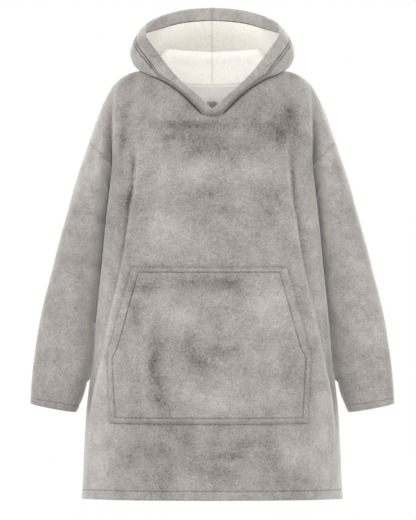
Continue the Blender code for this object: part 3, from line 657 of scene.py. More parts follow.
def fleece_material(name, dark, light):
    """Curly cream fleece: small soft lumps with faint warm shade between them."""
    material = bpy.data.materials.new(name)
    material.use_nodes = True
    nodes, links = material.node_tree.nodes, material.node_tree.links
    shader = nodes["Principled BSDF"]
    shader.inputs["Roughness"].default_value = 0.95
    shader.inputs["Specular IOR Level"].default_value = 0.10
    shader.inputs["Sheen Weight"].default_value = 0.35
    shader.inputs["Sheen Roughness"].default_value = 0.5
    place = nodes.new("ShaderNodeTexCoord")
    curls = nodes.new("ShaderNodeTexVoronoi")
    curls.inputs["Scale"].default_value = 190.0
    links.new(place.outputs["Object"], curls.inputs["Vector"])
    wool = nodes.new("ShaderNodeTexNoise")
    wool.inputs["Scale"].default_value = 320.0
    wool.inputs["Detail"].default_value = 3.0
    links.new(place.outputs["Object"], wool.inputs["Vector"])
    height = nodes.new("ShaderNodeMath")
    height.operation = "SUBTRACT"
    links.new(wool.outputs["Fac"], height.inputs[0])
    links.new(curls.outputs["Distance"], height.inputs[1])
    shade = nodes.new("ShaderNodeMapRange")
    shade.inputs["From Min"].default_value = -2.4
    shade.inputs["From Max"].default_value = 0.3
    shade.clamp = False
    links.new(height.outputs["Value"], shade.inputs["Value"])
    depth = nodes.new("ShaderNodeAttribute")
    depth.attribute_name = "painted_shade_and_light"
    shaded = nodes.new("ShaderNodeMath")
    shaded.operation = "SUBTRACT"
    links.new(shade.outputs["Result"], shaded.inputs[0])
    links.new(depth.outputs["Fac"], shaded.inputs[1])
    ramp = nodes.new("ShaderNodeValToRGB")
    ramp.color_ramp.elements[0].color = tuple(0.34 * value for value in dark) + (1.0,)
    ramp.color_ramp.elements[1].color = (*light, 1.0)
    middle = ramp.color_ramp.elements.new(0.36)
    middle.color = (*dark, 1.0)
    links.new(shaded.outputs["Value"], ramp.inputs["Fac"])
    links.new(ramp.outputs["Color"], shader.inputs["Base Color"])
    bump = nodes.new("ShaderNodeBump")
    bump.inputs["Strength"].default_value = 0.25
    bump.inputs["Distance"].default_value = 0.0015
    links.new(height.outputs["Value"], bump.inputs["Height"])
    links.new(bump.outputs["Normal"], shader.inputs["Normal"])
    return material


plush = plush_material("grey_plush", (0.225, 0.209, 0.196), (0.520, 0.492, 0.468))
fleece = fleece_material("cream_fleece", (0.80, 0.755, 0.68), (0.955, 0.925, 0.88))

HEM_ROWS = (0.0, 0.0003, 0.001, 0.002, 0.004, 0.008, 0.012, 0.0155, 0.017, 0.018, 0.019, 0.020, 0.0212, 0.023)
BODY_ROWS = 112
UPPER_ROWS = 50
HALF_COLUMNS = 60
CAP_COLUMNS = 22
SMOOTHING_ROUNDS = 22


def body_columns():
    """Columns of cloth right across a body panel, the wearer's right first, at even distances."""
    even = np.linspace(0, 1, HALF_COLUMNS + 1)
    inner = FOLD_COLUMN * np.clip(even / 0.6, 0, 1) ** 1.35
    outer = 1 - (1 - FOLD_COLUMN) * np.clip((1 - even) / 0.4, 0, 1) ** 1.35
    half = np.where(even <= 0.6, inner, outer)
    return np.concatenate((-half[:0:-1], half))


def flutes(verts, side):
    """Long shallow waves of the loose cloth between the chest and the hem."""
    loose = ease((-0.36 - verts[:, 2]) / 0.45)
    across = verts[:, 0] * 2 * np.pi
    waves = 0.6 * np.cos(across / 0.170 + 0.7 * side) + 0.4 * np.cos(across / 0.115 + 2.1 + side)
    return 0.0024 * loose * waves


def painted_side_light_and_fold_shade(verts, beside_fold):
    """Painted light and shade: the steep sides are painted lighter. Along the long fold it is painted pale
    on the ridge and dark in the valley."""
    painted_side_light = 0.42 * np.clip((np.abs(verts[:, 0]) - 0.190) / 0.045, 0, 1)
    strength = ease((-0.130 - verts[:, 2]) / 0.10) * ease((verts[:, 2] + 0.760) / 0.08)
    painted_ridge_light = np.exp(-(((beside_fold + 0.014) / 0.016) ** 2))
    dark = np.exp(-(((beside_fold - 0.026) / 0.024) ** 2))
    return painted_side_light + strength * (0.35 * painted_ridge_light - 0.75 * dark)


def body_panel(name, side, creases, nap_table):
    columns = body_columns()
    reach, hand = np.abs(columns), np.where(columns < 0, -1.0, 1.0)
    hem = HEM_HEIGHT + (HEM_RISE_FRONT * np.cos(np.radians(90 * reach)) if side < 0 else 0 * reach)
    from_hem = list(HEM_ROWS)
    heights = [hem + step for step in HEM_ROWS]
    for k in range(1, BODY_ROWS + 1):
        heights.append(hem + HEM_ROWS[-1] + (UNDERARM_HEIGHT - hem - HEM_ROWS[-1]) * k / BODY_ROWS)
        from_hem.append(HEM_ROWS[-1] + 0.006 * k)
    rows = [torso(column_angle(reach, h), h, side) for h in heights]
    underarm = len(rows) - 1
    ups = 1 - (1 - np.linspace(0, 1, UPPER_ROWS + 1)) ** 1.3
    for up in ups[1:]:
        rows.append(upper_body(reach, np.full(reach.shape, up), side))
        from_hem.append(1.0)
    grid = np.array(rows)
    grid[:, :, 0] *= hand
    verts = [grid.reshape(-1, 3)]
    count = grid[..., 0].size
    ids = np.arange(count).reshape(grid.shape[:2])
    faces = [grid_faces(ids if side < 0 else ids[:, ::-1])]
    held = set(ids[:, 0]) | set(ids[:, -1]) | set(ids[-1])
    armhole_ids, armhole_ways = [], []
    out = np.arange(1, CAP_COLUMNS + 1) / CAP_COLUMNS
    for edge, sign in ((0, -1.0), (-1, 1.0)):
        cap = np.array([arm_cap(out, np.full(out.shape, up), side) for up in ups])
        cap[:, :, 0] *= sign
        cap_ids = np.arange(count, count + cap[..., 0].size).reshape(cap.shape[:2])
        count += cap[..., 0].size
        verts.append(cap.reshape(-1, 3))
        whole = np.concatenate((ids[underarm:, [edge]], cap_ids), axis=1)
        faces.append(grid_faces(whole if (side < 0) == (sign > 0) else whole[:, ::-1]))
        held |= set(cap_ids[:, -1]) | set(cap_ids[-1]) | set(cap_ids[0])
        armhole_ids.append(cap_ids[:, -1])
        armhole_ways.append(armhole_inwards(180 * ups, side) * (sign, 1, 1))
    verts, faces = np.concatenate(verts), np.concatenate(faces)
    freedom = ease((verts[:, 2] + 0.30) / 0.06)
    freedom[list(held)] = 0.0
    verts = smoothed(verts, faces, freedom, SMOOTHING_ROUNDS)
    normals = vertex_normals(verts, faces)
    on_plane = np.flatnonzero(np.abs(verts[:, 1]) < 1e-9)
    verts[on_plane, 1] = 0.0
    inside_neck = reach <= NECK_COLUMN
    angles = 90 * reach[inside_neck] / NECK_COLUMN
    neck_ways, _ = neck_directions(angles if side < 0 else 180 - angles)
    neck_ways = neck_ways * np.stack((hand[inside_neck], 1 + 0 * angles, 1 + 0 * angles), axis=1)
    seam_ids = np.concatenate((on_plane, ids[-1][inside_neck], *armhole_ids))
    seam_ways = np.concatenate((unit(-normals[on_plane] * (1, 0, 1)), neck_ways, *armhole_ways))
    ways, distance = turned_ways(verts, -normals, verts[seam_ids], seam_ways, SEAM_TURNS_WITHIN)
    off_seam = 1 - np.exp(-((distance / 0.030) ** 2))
    shift = crease_relief(verts[:, 0], verts[:, 2], creases) + flutes(verts, side)
    verts = verts - ways * (shift * off_seam)[:, None]
    edge = np.full(len(verts), 1.0)
    edge[ids.ravel()] = np.repeat(np.array(from_hem), len(columns))
    full, rounded = turned_edge(edge, HEM_WIDTH, SHELL / 2 + PUFF / 2)
    full[edge > 0.04] = 0.0
    dip = SEAM_DIP * np.exp(-((distance / SEAM_DIP_WIDTH) ** 2))
    beside_fold = np.full(len(verts), 1.0)
    beside_fold[ids.ravel()] = np.tile(reach - FOLD_COLUMN, len(ids))
    # Brushed patches of pile, plus painted light on the steep sides and painted light and shade along the long
    # fold.
    nap_and_painted_light = brushed(verts[:, 0], verts[:, 2], nap_table) + painted_side_light_and_fold_shade(verts, beside_fold)
    # Painted shade in the seam grooves, along the hem's stitch line and in the crevice at the neck seam.
    painted_shade_and_light = 0.12 * dip / SEAM_DIP + 0.30 * np.exp(-(((edge - HEM_WIDTH) / 0.0010) ** 2))
    to_neck = nearest(verts, verts[ids[-1][inside_neck]])[1]
    off_centre = 1 - 0.8 * np.exp(-((verts[:, 0] / NECK_FLAT_HALF) ** 4))
    painted_shade_and_light = painted_shade_and_light + 0.75 * off_centre * np.exp(-((to_neck / 0.0022) ** 2))
    piece = make_cloth(
        name, verts, faces, ways, SHELL - rounded, full - rounded - dip, (nap_and_painted_light, painted_shade_and_light), edge > 0.021,
        (plush, fleece),
    )
    return piece, verts, faces, ids, ways


front, front_verts, front_faces, front_ids, front_ways = body_panel(
    "front_cloth", -1, FRONT_CREASES, FRONT_NAP
)
back, back_verts, back_faces, back_ids, back_ways = body_panel(
    "back_cloth", 1, BACK_CREASES, (FRONT_NAP[0], FRONT_NAP[1][9:])
)
for piece, node in ((front, "front"), (back, "back")):
    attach(piece, "root")
    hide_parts(node)


# Sleeves: each is one piece of the same plush and fleece, sewn into a tube and set into the dropped
# armhole, with a turned cuff. They hang down and a little out, just clear of the body's sides.
CUFF_WIDTH = 0.0195
SLEEVE_LENGTH = 0.57
SLEEVE_ROWS = 92
SLEEVE_COLUMNS = 100
SEAM_EASES_OVER = 0.045

# Creases round the arm: degrees round from the body's side by the front, share of the length, half
# length and half width in metres, tilt in degrees and depth.
SLEEVE_CREASES = (
    ("turn", "along", "half_length", "half_width", "tilt", "depth"),
    (
        (40.0, 0.10, 0.055, 0.009, -38.0, 0.0030),
        (55.0, 0.24, 0.050, 0.010, -25.0, 0.0024),
        (120.0, 0.33, 0.045, 0.011, 14.0, 0.0014),
        (50.0, 0.43, 0.055, 0.009, -18.0, 0.0026),
        (95.0, 0.54, 0.050, 0.010, 16.0, 0.0018),
        (45.0, 0.63, 0.055, 0.010, -12.0, 0.0026),
        (125.0, 0.72, 0.050, 0.011, 10.0, 0.0014),
        (60.0, 0.83, 0.050, 0.010, -8.0, 0.0020),
        (310.0, 0.18, 0.060, 0.011, 30.0, 0.0028),
        (300.0, 0.38, 0.050, 0.011, 20.0, 0.0024),
        (250.0, 0.52, 0.050, 0.010, -15.0, 0.0020),
        (310.0, 0.66, 0.060, 0.010, 12.0, 0.0026),
        (240.0, 0.80, 0.050, 0.010, 8.0, 0.0016),
    ),
)


def sleeve_relief(turns, alongs):
    """Soft creases round the arm at a grid of turns and shares of the length."""
    relief = np.zeros(turns.shape)
    for turn, along, half_length, half_width, tilt, depth in SLEEVE_CREASES[1]:
        around = ((turns - turn + 180) % 360 - 180) * 0.0011
        down = (alongs - along) * SLEEVE_LENGTH
        slope = math.radians(tilt)
        run = around * math.cos(slope) + down * math.sin(slope)
        across = down * math.cos(slope) - around * math.sin(slope)
        spread = np.exp(-((run / half_length) ** 2))
        trough = np.exp(-((across / half_width) ** 2))
        ridge = 0.5 * np.exp(-(((across - 1.7 * half_width) / half_width) ** 2))
        relief = relief - depth * spread * (trough - ridge)
    return relief


def sleeve(name, sign):
    turns = np.arange(SLEEVE_COLUMNS) * 360.0 / SLEEVE_COLUMNS
    cuff = [1 - step / SLEEVE_LENGTH for step in HEM_ROWS]
    alongs = np.concatenate((np.linspace(0, cuff[-1], SLEEVE_ROWS), cuff[-2::-1]))
    rows = [sleeve_ring(turns, np.full(turns.shape, along)) for along in alongs]
    forward = turns <= 180
    seam_turns = np.where(forward, turns, 360 - turns)
    front_half, back_half = armhole(seam_turns, -1), armhole(seam_turns, 1)
    seam = np.where(forward[:, None], front_half, back_half)
    seam_ways = np.where(
        forward[:, None], armhole_inwards(seam_turns, -1), armhole_inwards(seam_turns, 1)
    ) * (sign, 1, 1)
    ring = rows[0]
    rows = [row + (seam - ring) * (1 - ease(along / SEAM_EASES_OVER)) for row, along in zip(rows, alongs)]
    grid = np.array(rows)
    grid[:, :, 0] *= sign
    ids = np.arange(grid[..., 0].size).reshape(grid.shape[:2])
    wrapped = np.concatenate((ids, ids[:, :1]), axis=1)
    faces = grid_faces(wrapped if sign < 0 else wrapped[:, ::-1])
    verts = grid.reshape(-1, 3)
    ways, distance = turned_ways(
        verts, -vertex_normals(verts, faces), verts[ids[0]], seam_ways, SEAM_TURNS_WITHIN
    )
    round_arm, down_arm = np.meshgrid(turns, alongs)
    loose = (1 - np.exp(-((distance / 0.030) ** 2))) * ease((1 - down_arm.ravel()) / 0.06)
    shift = sleeve_relief(round_arm if sign > 0 else round_arm + 14.0, down_arm).ravel() * loose
    verts = verts - ways * shift[:, None]
    from_cuff = np.repeat(np.concatenate((np.full(SLEEVE_ROWS - 1, 1.0), HEM_ROWS[::-1])), len(turns))
    full, rounded = turned_edge(from_cuff, CUFF_WIDTH, SHELL / 2 + PUFF / 2)
    full[from_cuff > 0.04] = 0.0
    dip = SEAM_DIP * np.exp(-((distance / SEAM_DIP_WIDTH) ** 2))
    # Painted shade in the seam groove and along the cuff's stitch line.
    painted_shade_and_light = 0.12 * dip / SEAM_DIP + 0.30 * np.exp(-(((from_cuff - CUFF_WIDTH) / 0.0010) ** 2))
    # Painted light: the whole sleeve is painted a little lighter, and more on its side against the body, where
    # the crevice is in shade.
    beside_body = np.clip((0.270 - np.abs(verts[:, 0])) / 0.03, 0, 1)
    piece = make_cloth(
        name, verts, faces, ways, SHELL - rounded, full - rounded - dip,
        (0.12 + 0.45 * beside_body, painted_shade_and_light), from_cuff > 0.021, (plush, fleece),
    )
    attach(piece, "root")
    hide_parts("sleeve_left" if sign > 0 else "sleeve_right")
    return verts, ids, ways


sleeves = [sleeve("sleeve_left_cloth", 1), sleeve("sleeve_right_cloth", -1)]


# Hood: two halves of plush sewn along the centre, set into the neck seam. The hood is down: its
# front edge stands round the neck as a cowl and its bag hangs behind the shoulders. The brim is
# turned in and sewn 27 mm from its edge.
HOOD_SHELL = 0.0025
LINING = 0.0025
BRIM_WIDTH = 0.0270
BRIM = (
    ("angle", "out", "fore", "height", "swell"),
    (
        (0.0, 0.0000, 0.136, -0.0931, 0.000),
        (20.0, 0.0362, 0.128, -0.0565, 0.001),
        (40.0, 0.0786, 0.105, -0.0139, 0.006),
        (60.0, 0.1137, 0.070, 0.0329, 0.015),
        (80.0, 0.1375, 0.028, 0.0688, 0.023),
        (95.0, 0.1400, -0.008, 0.0868, 0.027),
        (110.0, 0.1375, -0.044, 0.1010, 0.029),
        (125.0, 0.1250, -0.078, 0.1140, 0.030),
        (140.0, 0.1060, -0.108, 0.1245, 0.030),
        (160.0, 0.0592, -0.136, 0.1385, 0.030),
        (180.0, 0.0000, -0.146, 0.1440, 0.030),
    ),
)
BAG = (
    ("along", "out", "up"),
    (
        (0.000, 0.000, 0.000),
        (0.080, 0.009, 0.038),
        (0.150, 0.016, 0.067),
        (0.185, 0.030, 0.070),
        (0.250, 0.040, 0.040),
        (0.340, 0.041, -0.015),
        (0.430, 0.048, -0.068),
        (0.500, 0.070, -0.090),
        (0.570, 0.094, -0.074),
        (0.700, 0.104, 0.000),
        (0.820, 0.092, 0.078),
        (0.920, 0.072, 0.132),
        (1.000, 0.066, 0.1740),
    ),
)
BAG_STARTS_DEG = 108.0
BAG_FULL_DEG = 148.0
BAG_SOFTENING = 0.15
SWELL_FULLNESS = 0.70
STAND_SHARE = (0.0, 0.17, 0.50, 1.0)
STAND_ON_PLAIN = (0.0, 0.36, 0.64, 1.0)
STAND_STARTS_DEG = 72.0
BRIM_ROWS = (
    0.0, 0.0003, 0.001, 0.002, 0.0045, 0.009, 0.014, 0.019, 0.0225, 0.0245, 0.026, 0.027, 0.028, 0.0295,
    0.031, 0.032, 0.033, 0.034, 0.035, 0.037,
)
LINING_ROW = 12
SECOND_LINE = 0.033
HOOD_GROOVE = 0.0011
HOOD_CREASES = (
    (((-0.150, 0.026), (-0.112, -0.020), (-0.072, -0.058)), 0.004, 0.0022, 0.7),
    (((0.155, 0.028), (0.118, -0.018), (0.090, -0.042)), 0.004, 0.0024, -0.7),
    (((0.120, -0.030), (0.092, -0.055), (0.060, -0.078)), 0.004, 0.0022, -0.7),
)
HOOD_ROWS = 84
HOOD_COLUMNS = 104
LINING_FIRST_DEG = 10.0


def hood_cloth(angle, t):
    turn = np.radians(angle)
    out = points(np.sin(turn), -np.cos(turn), 0.0)
    up = np.array((0.0, 0.0, 1.0))
    seam = neck(angle)
    brim = points(read(BRIM, "out", angle), -read(BRIM, "fore", angle), read(BRIM, "height", angle))
    raised = ease((angle - STAND_STARTS_DEG) / (BAG_STARTS_DEG - STAND_STARTS_DEG))
    up_plain = t + raised * (np.interp(t, STAND_SHARE, STAND_ON_PLAIN) - t)
    plain = seam + (brim - seam) * up_plain[..., None]
    fullness = np.sin(np.pi * np.clip(up_plain, 0, 1)) ** SWELL_FULLNESS
    plain = plain + out * (read(BRIM, "swell", angle) * fullness)[..., None]
    bag_end = seam + out * read(BAG, "out", 1.0) + up * read(BAG, "up", 1.0)
    bag = seam + out * read(BAG, "out", t)[..., None] + up * read(BAG, "up", t)[..., None]
    bag = bag + (brim - bag_end) * ease(t)[..., None]
    depth = ease((angle - BAG_STARTS_DEG) / (BAG_FULL_DEG - BAG_STARTS_DEG))[..., None]
    return plain * (1 - depth) + bag * depth


def hood_profile(angle, t):
    """Outer surface of the hood above the neck seam at that angle, t from the seam to the brim. Where
    the bag is only beginning, its folds are softened."""
    depth = ease((angle - BAG_STARTS_DEG) / (BAG_FULL_DEG - BAG_STARTS_DEG))
    spread = np.minimum(BAG_SOFTENING * np.sqrt(4 * depth * (1 - depth)), np.minimum(t, 1 - t))
    near = hood_cloth(angle, t - spread) + hood_cloth(angle, t + spread)
    return near * 0.3 + hood_cloth(angle, t) * 0.4


def hood_line(angle):
    """Points of the hood at one angle, from the brim's edge to the neck seam. The first of them are
    at set distances from the edge."""
    t = np.linspace(0, 1, 401)
    line = hood_profile(np.full(t.shape, float(angle)), t)[::-1]
    run = np.concatenate(([0], np.cumsum(np.linalg.norm(np.diff(line, axis=0), axis=1))))
    steps = np.array(BRIM_ROWS) * min(1.0, (run[-1] - 0.003) / BRIM_ROWS[-1])
    at = np.interp(steps, run, 1 - t)
    rows = np.concatenate((at[:-1], at[-1] * np.linspace(1, 0, HOOD_ROWS)))
    return hood_profile(np.full(rows.shape, float(angle)), rows)


def hood_surface(sign):
    """Outer side of half the hood: points, faces, grid of numbers, ways through the cloth, and the
    distance of each point from the neck seam."""
    angles = 180 * np.linspace(0, 1, HOOD_COLUMNS + 1)
    grid = np.array([hood_line(angle) for angle in angles])
    grid[:, :, 0] = np.maximum(grid[:, :, 0], 0.0) * sign
    verts = grid.reshape(-1, 3)
    ids = np.arange(len(verts)).reshape(grid.shape[:2])
    faces = grid_faces(ids if sign > 0 else ids[::-1])
    ways = -vertex_normals(verts, faces)
    centre = np.concatenate((ids[0], ids[-1]))
    ways[centre] = unit(ways[centre] * (0, 1, 1))
    mitre = neck_directions(angles)[0] * (sign, 1, 1)
    run = np.linalg.norm(np.diff(grid[:, ::-1], axis=1), axis=2).cumsum(axis=1)
    from_seam = np.concatenate((np.zeros((len(angles), 1)), run), axis=1)[:, ::-1]
    share = (np.clip(1 - from_seam / SEAM_TURNS_WITHIN, 0, 1) ** 2)[..., None]
    ways = unit(ways[ids] * (1 - share) + mitre[:, None] * share).reshape(-1, 3)
    return verts, faces, ids, ways, from_seam, angles


def hood_half(name, sign):
    verts, faces, ids, ways, from_seam, angles = hood_surface(sign)
    width = np.concatenate((BRIM_ROWS[:-1], np.full(HOOD_ROWS, 1.0)))
    from_brim = np.broadcast_to(width, ids.shape).ravel()
    brim = HOOD_SHELL + SEAM_GAP + LINING
    full, rounded = turned_edge(from_brim, BRIM_WIDTH, brim / 2)
    full[from_brim > 0.04] = 0.0
    thickness = np.where(from_brim <= BRIM_WIDTH, brim, HOOD_SHELL) - rounded
    from_centre = np.abs(verts[:, 0])
    behind = verts[:, 1] > 0
    dip = SEAM_DIP * np.exp(-((from_seam.ravel() / SEAM_DIP_WIDTH) ** 2))
    dip = dip + np.where(behind, SEAM_DIP * np.exp(-((from_centre / 0.003) ** 2)), 0.0)
    second = HOOD_GROOVE * np.exp(-(((from_brim - SECOND_LINE) / 0.0014) ** 2))
    # Painted shade along the brim's two stitch lines and in the crevice at the neck seam.
    painted_shade_and_light = 0.75 * np.exp(-(((from_brim - BRIM_WIDTH) / 0.0012) ** 2)) + 0.60 * second / HOOD_GROOVE
    off_centre = 1 - 0.8 * np.exp(-((verts[:, 0] / NECK_FLAT_HALF) ** 4))
    painted_shade_and_light = painted_shade_and_light + 0.85 * off_centre * np.exp(-((from_seam.ravel() / 0.0030) ** 2))
    # Painted light: the hood is painted a little lighter all over and more towards the back, where the inner
    # side of the band faces down into shade.
    painted_light_to_back = ease((angles - 60) / 60)
    nap_and_painted_light = np.repeat(0.10 + 0.55 * painted_light_to_back, ids.shape[1])
    shift = crease_relief(verts[:, 0], verts[:, 2], HOOD_CREASES) * (verts[:, 1] < 0.0)
    piece = make_cloth(
        name, verts, faces, ways, thickness, full - rounded - dip - second + shift,
        (nap_and_painted_light, painted_shade_and_light), False, (plush, fleece),
    )
    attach(piece, "root")
    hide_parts("hood_left" if sign > 0 else "hood_right")
    return verts, ids, ways


hoods = [hood_half("hood_left_cloth", 1), hood_half("hood_right_cloth", -1)]


# Fleece inside the hood and the back of the neck: a cream lining cut like the shell, caught in the
# brim's turned edge and in the neck seam. It is thick and soft, and rolls up along the brim.
CURL_SIZE = 0.008
CURL_HEIGHT = 0.0006
ROLL_HEIGHT = 0.0110
ROLL_PLACE = 0.020
ROLL_WIDTH = 0.013


def curls(verts):
    """Small even lumps of fleece, worked out from each point's place."""
    phase = verts / CURL_SIZE * 2 * np.pi
    a = np.sin(phase[:, 0] + 1.3 * np.sin(phase[:, 2] * 0.61 + 0.4))
    b = np.sin(phase[:, 2] * 0.93 + 1.5 * np.sin(phase[:, 0] * 0.47 + 1.7))
    c = np.sin(phase[:, 1] * 1.07 + 1.2 * np.sin(phase[:, 2] * 0.39 + 2.3))
    return (a * b + b * c + c * a) / 3


def lining_cloth(name, verts, ways, depth, block, thickness, node, painted_shade_and_light):
    kept = block.ravel()
    faces = grid_faces(np.arange(len(kept)).reshape(block.shape))
    outer = verts[kept] + ways[kept] * (depth + SEAM_GAP)
    lumps = thickness + CURL_HEIGHT * curls(outer)
    piece = make_cloth(name, outer, faces, ways[kept], lumps, 0.0, (0.0, painted_shade_and_light[kept]), False, (fleece, fleece))
    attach(piece, "root")
    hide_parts(node)
    return piece


for sign, hand in ((1, "left"), (-1, "right")):
    verts, faces, ids, ways, from_seam, angles = hood_surface(sign)
    first = int(np.searchsorted(angles, LINING_FIRST_DEG))
    block = ids[first:, LINING_ROW:]
    run = from_seam[:, LINING_ROW][:, None] - from_seam
    puffed = ease((angles - 12) / 28) * (1 - ease((angles - 80) / 20))
    roll = ROLL_HEIGHT * np.exp(-(((run - ROLL_PLACE) / ROLL_WIDTH) ** 2)) * puffed[:, None]
    thick = (LINING + roll)[first:, LINING_ROW:]
    if sign < 0:
        block, thick = block[::-1], thick[::-1]
    # Painted shade in the middle of the hood's far wall, painted light at its sides, and painted shade along the
    # inner side of each roll.
    behind = ease((verts[:, 1] - 0.10) / 0.02) * ease((verts[:, 2] - 0.030) / 0.012)
    painted_far_shade_and_light = behind * (0.34 * np.exp(-((verts[:, 0] / 0.070) ** 4)) - 0.15)
    painted_shade_beside_roll = np.exp(-(((run - ROLL_PLACE - ROLL_WIDTH * 1.6) / 0.008) ** 2)) * puffed[:, None]
    painted_far_shade_and_light = painted_far_shade_and_light + 0.14 * painted_shade_beside_roll.ravel()
    lining_cloth(
        "hood_lining_%s_cloth" % hand, verts, ways, HOOD_SHELL, block, thick.ravel(),
        "hood_lining_%s" % hand, painted_far_shade_and_light,
    )

NECK_LINING_REACH = 0.57
NECK_LINING_ROWS = 26
within = np.abs(body_columns()) < NECK_LINING_REACH
# Painted shade: the small soft shade that the V of the neck throws on the fleece behind it is painted into the
# fleece's colour, and the rest of the neck lining is painted a little lighter.
painted_shade_under_v = np.exp(-((back_verts[:, 0] / 0.034) ** 2) - ((back_verts[:, 2] + 0.069) / 0.016) ** 2)
neck_block = back_ids[-NECK_LINING_ROWS:, within][:, ::-1]
lining_cloth(
    "back_neck_lining_cloth", back_verts, back_ways, SHELL, neck_block, LINING,
    "back_neck_lining", 1.25 * painted_shade_under_v - 0.25,
)


# Pocket: one panel of the plush lying on the front, with a straight top, slanted hand openings from
# the top corners to the elbows, and short straight sides. It is sewn twice all round.
POCKET_OFFSET = -0.007
POCKET_TOP = -0.4133
POCKET_ELBOW = -0.5950
POCKET_BOTTOM = -0.7345
POCKET_TOP_HALF = 0.1610
POCKET_ELBOW_HALF = 0.2110
POCKET_BOTTOM_HALF = 0.2030
POCKET_STANDS_OFF = 0.0012
POCKET_INNER_ROWS = 96
POCKET_INNER_COLUMNS = 56
EDGE_LINE = 0.0030
TOP_LINE = 0.0110
BOTTOM_LINE = 0.0115
SLANT_LINE = 0.0200
SIDE_LINE = 0.0130
POCKET_GROOVE = 0.0016
SLANT_LENGTHENS = 1.13
BORDER_STEPS = (0.0, 0.0004, 0.001, 0.0018, 0.0024, 0.0030, 0.0036, 0.0044)
LINE_STEPS = (-0.0028, -0.0016, -0.0008, 0.0, 0.0008, 0.0016, 0.0028)


def pocket_steps(line, half, count):
    """Distances from an edge: close together at the border and at the inner line, then even."""
    near = list(BORDER_STEPS) + [line + step for step in LINE_STEPS]
    return np.concatenate((near, np.linspace(near[-1], half, count + 1)[1:]))


down_from_top = pocket_steps(TOP_LINE, (POCKET_TOP - POCKET_BOTTOM) / 2, POCKET_INNER_ROWS // 2)
up_from_bottom = pocket_steps(BOTTOM_LINE, (POCKET_TOP - POCKET_BOTTOM) / 2, POCKET_INNER_ROWS // 2)
pocket_heights = np.concatenate((POCKET_BOTTOM + up_from_bottom, (POCKET_TOP - down_from_top)[-2::-1]))
pocket_halves = np.interp(
    pocket_heights,
    (POCKET_BOTTOM, POCKET_ELBOW, POCKET_TOP),
    (POCKET_BOTTOM_HALF, POCKET_ELBOW_HALF, POCKET_TOP_HALF),
)
side_lines = SIDE_LINE + (SLANT_LINE - SIDE_LINE) * ease((pocket_heights + 0.610) / 0.035)
body_tree = BVHTree.FromPolygons(front_verts.tolist(), front_faces.tolist())
pocket_rows, pocket_from_side = [], []
for height, half, line in zip(pocket_heights, pocket_halves, side_lines):
    steps = pocket_steps(line, half, POCKET_INNER_COLUMNS)
    across = np.concatenate((steps - half, (half - steps)[-2::-1])) + POCKET_OFFSET
    pocket_rows.append([body_tree.ray_cast((x, -1.0, height), (0.0, 1.0, 0.0))[0] for x in across])
    pocket_from_side.append(np.concatenate((steps, steps[-2::-1])))
pocket_grid, pocket_from_side = np.array(pocket_rows), np.array(pocket_from_side)
pocket_ids = np.arange(pocket_from_side.size).reshape(pocket_from_side.shape)
pocket_faces = grid_faces(pocket_ids)
pocket_panel = pocket_grid.reshape(-1, 3)
pocket_ways = -vertex_normals(pocket_panel, pocket_faces)
pocket_outer = pocket_panel - pocket_ways * (POCKET_STANDS_OFF + SHELL)


def groove(distance, width):
    return np.exp(-((distance / width) ** 2))


from_top = (POCKET_TOP - pocket_heights)[:, None]
from_bottom = (pocket_heights - POCKET_BOTTOM)[:, None]
from_side = pocket_from_side * SLANT_LENGTHENS
from_edge = np.minimum(np.minimum(from_top, from_bottom), from_side)
inner_line = np.minimum(
    np.minimum(from_top - TOP_LINE, from_bottom - BOTTOM_LINE),
    from_side - side_lines[:, None] * SLANT_LENGTHENS,
)
_, rounded = turned_edge(from_edge, 1.0, SHELL / 2)
border_groove = groove(from_edge - EDGE_LINE, 0.0009)
inner_groove = groove(inner_line, 0.0012)
welt = 0.0007 * ((inner_line < 0) & (from_edge > EDGE_LINE))
pocket_relief = (welt - POCKET_GROOVE * (0.6 * border_groove + inner_groove) - rounded).ravel()
# Painted shade along the two stitch lines and at the pocket's border.
pocket_painted_shade = (0.12 * border_groove + 0.26 * inner_groove + 0.30 * groove(from_edge, 0.0010)).ravel()
pocket_nap = brushed(pocket_panel[:, 0], pocket_panel[:, 2], FRONT_NAP)
pocket_cloth = make_cloth(
    "pocket_cloth", pocket_outer, pocket_faces, pocket_ways, SHELL - rounded.ravel(), pocket_relief,
    (pocket_nap, pocket_painted_shade), False, (plush, fleece),
)
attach(pocket_cloth, "root")
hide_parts("pocket")


# Topstitching: rows of grey thread that hold the turned hem and cuffs, the turned edge of the hood
# and, twice round, the pocket. The stitches lie end to end in the dents that they pull in the pile.
STITCH_PITCH = 0.0034
STITCH_LENGTH = 0.0027
STITCH_THICKNESS = 0.0008
STITCH_SINKS = 0.0004

thread = bpy.data.materials.new("grey_thread")
thread.use_nodes = True
thread_shader = thread.node_tree.nodes["Principled BSDF"]
thread_shader.inputs["Roughness"].default_value = 0.7
thread_place = thread.node_tree.nodes.new("ShaderNodeTexCoord")
thread_dye = thread.node_tree.nodes.new("ShaderNodeTexNoise")
thread_dye.inputs["Scale"].default_value = 240.0
thread.node_tree.links.new(thread_place.outputs["Object"], thread_dye.inputs["Vector"])
thread_ramp = thread.node_tree.nodes.new("ShaderNodeValToRGB")
thread_ramp.color_ramp.elements[0].color = (0.22, 0.205, 0.195, 1.0)
thread_ramp.color_ramp.elements[1].color = (0.36, 0.340, 0.325, 1.0)
thread.node_tree.links.new(thread_dye.outputs["Fac"], thread_ramp.inputs["Fac"])
thread.node_tree.links.new(thread_ramp.outputs["Color"], thread_shader.inputs["Base Color"])


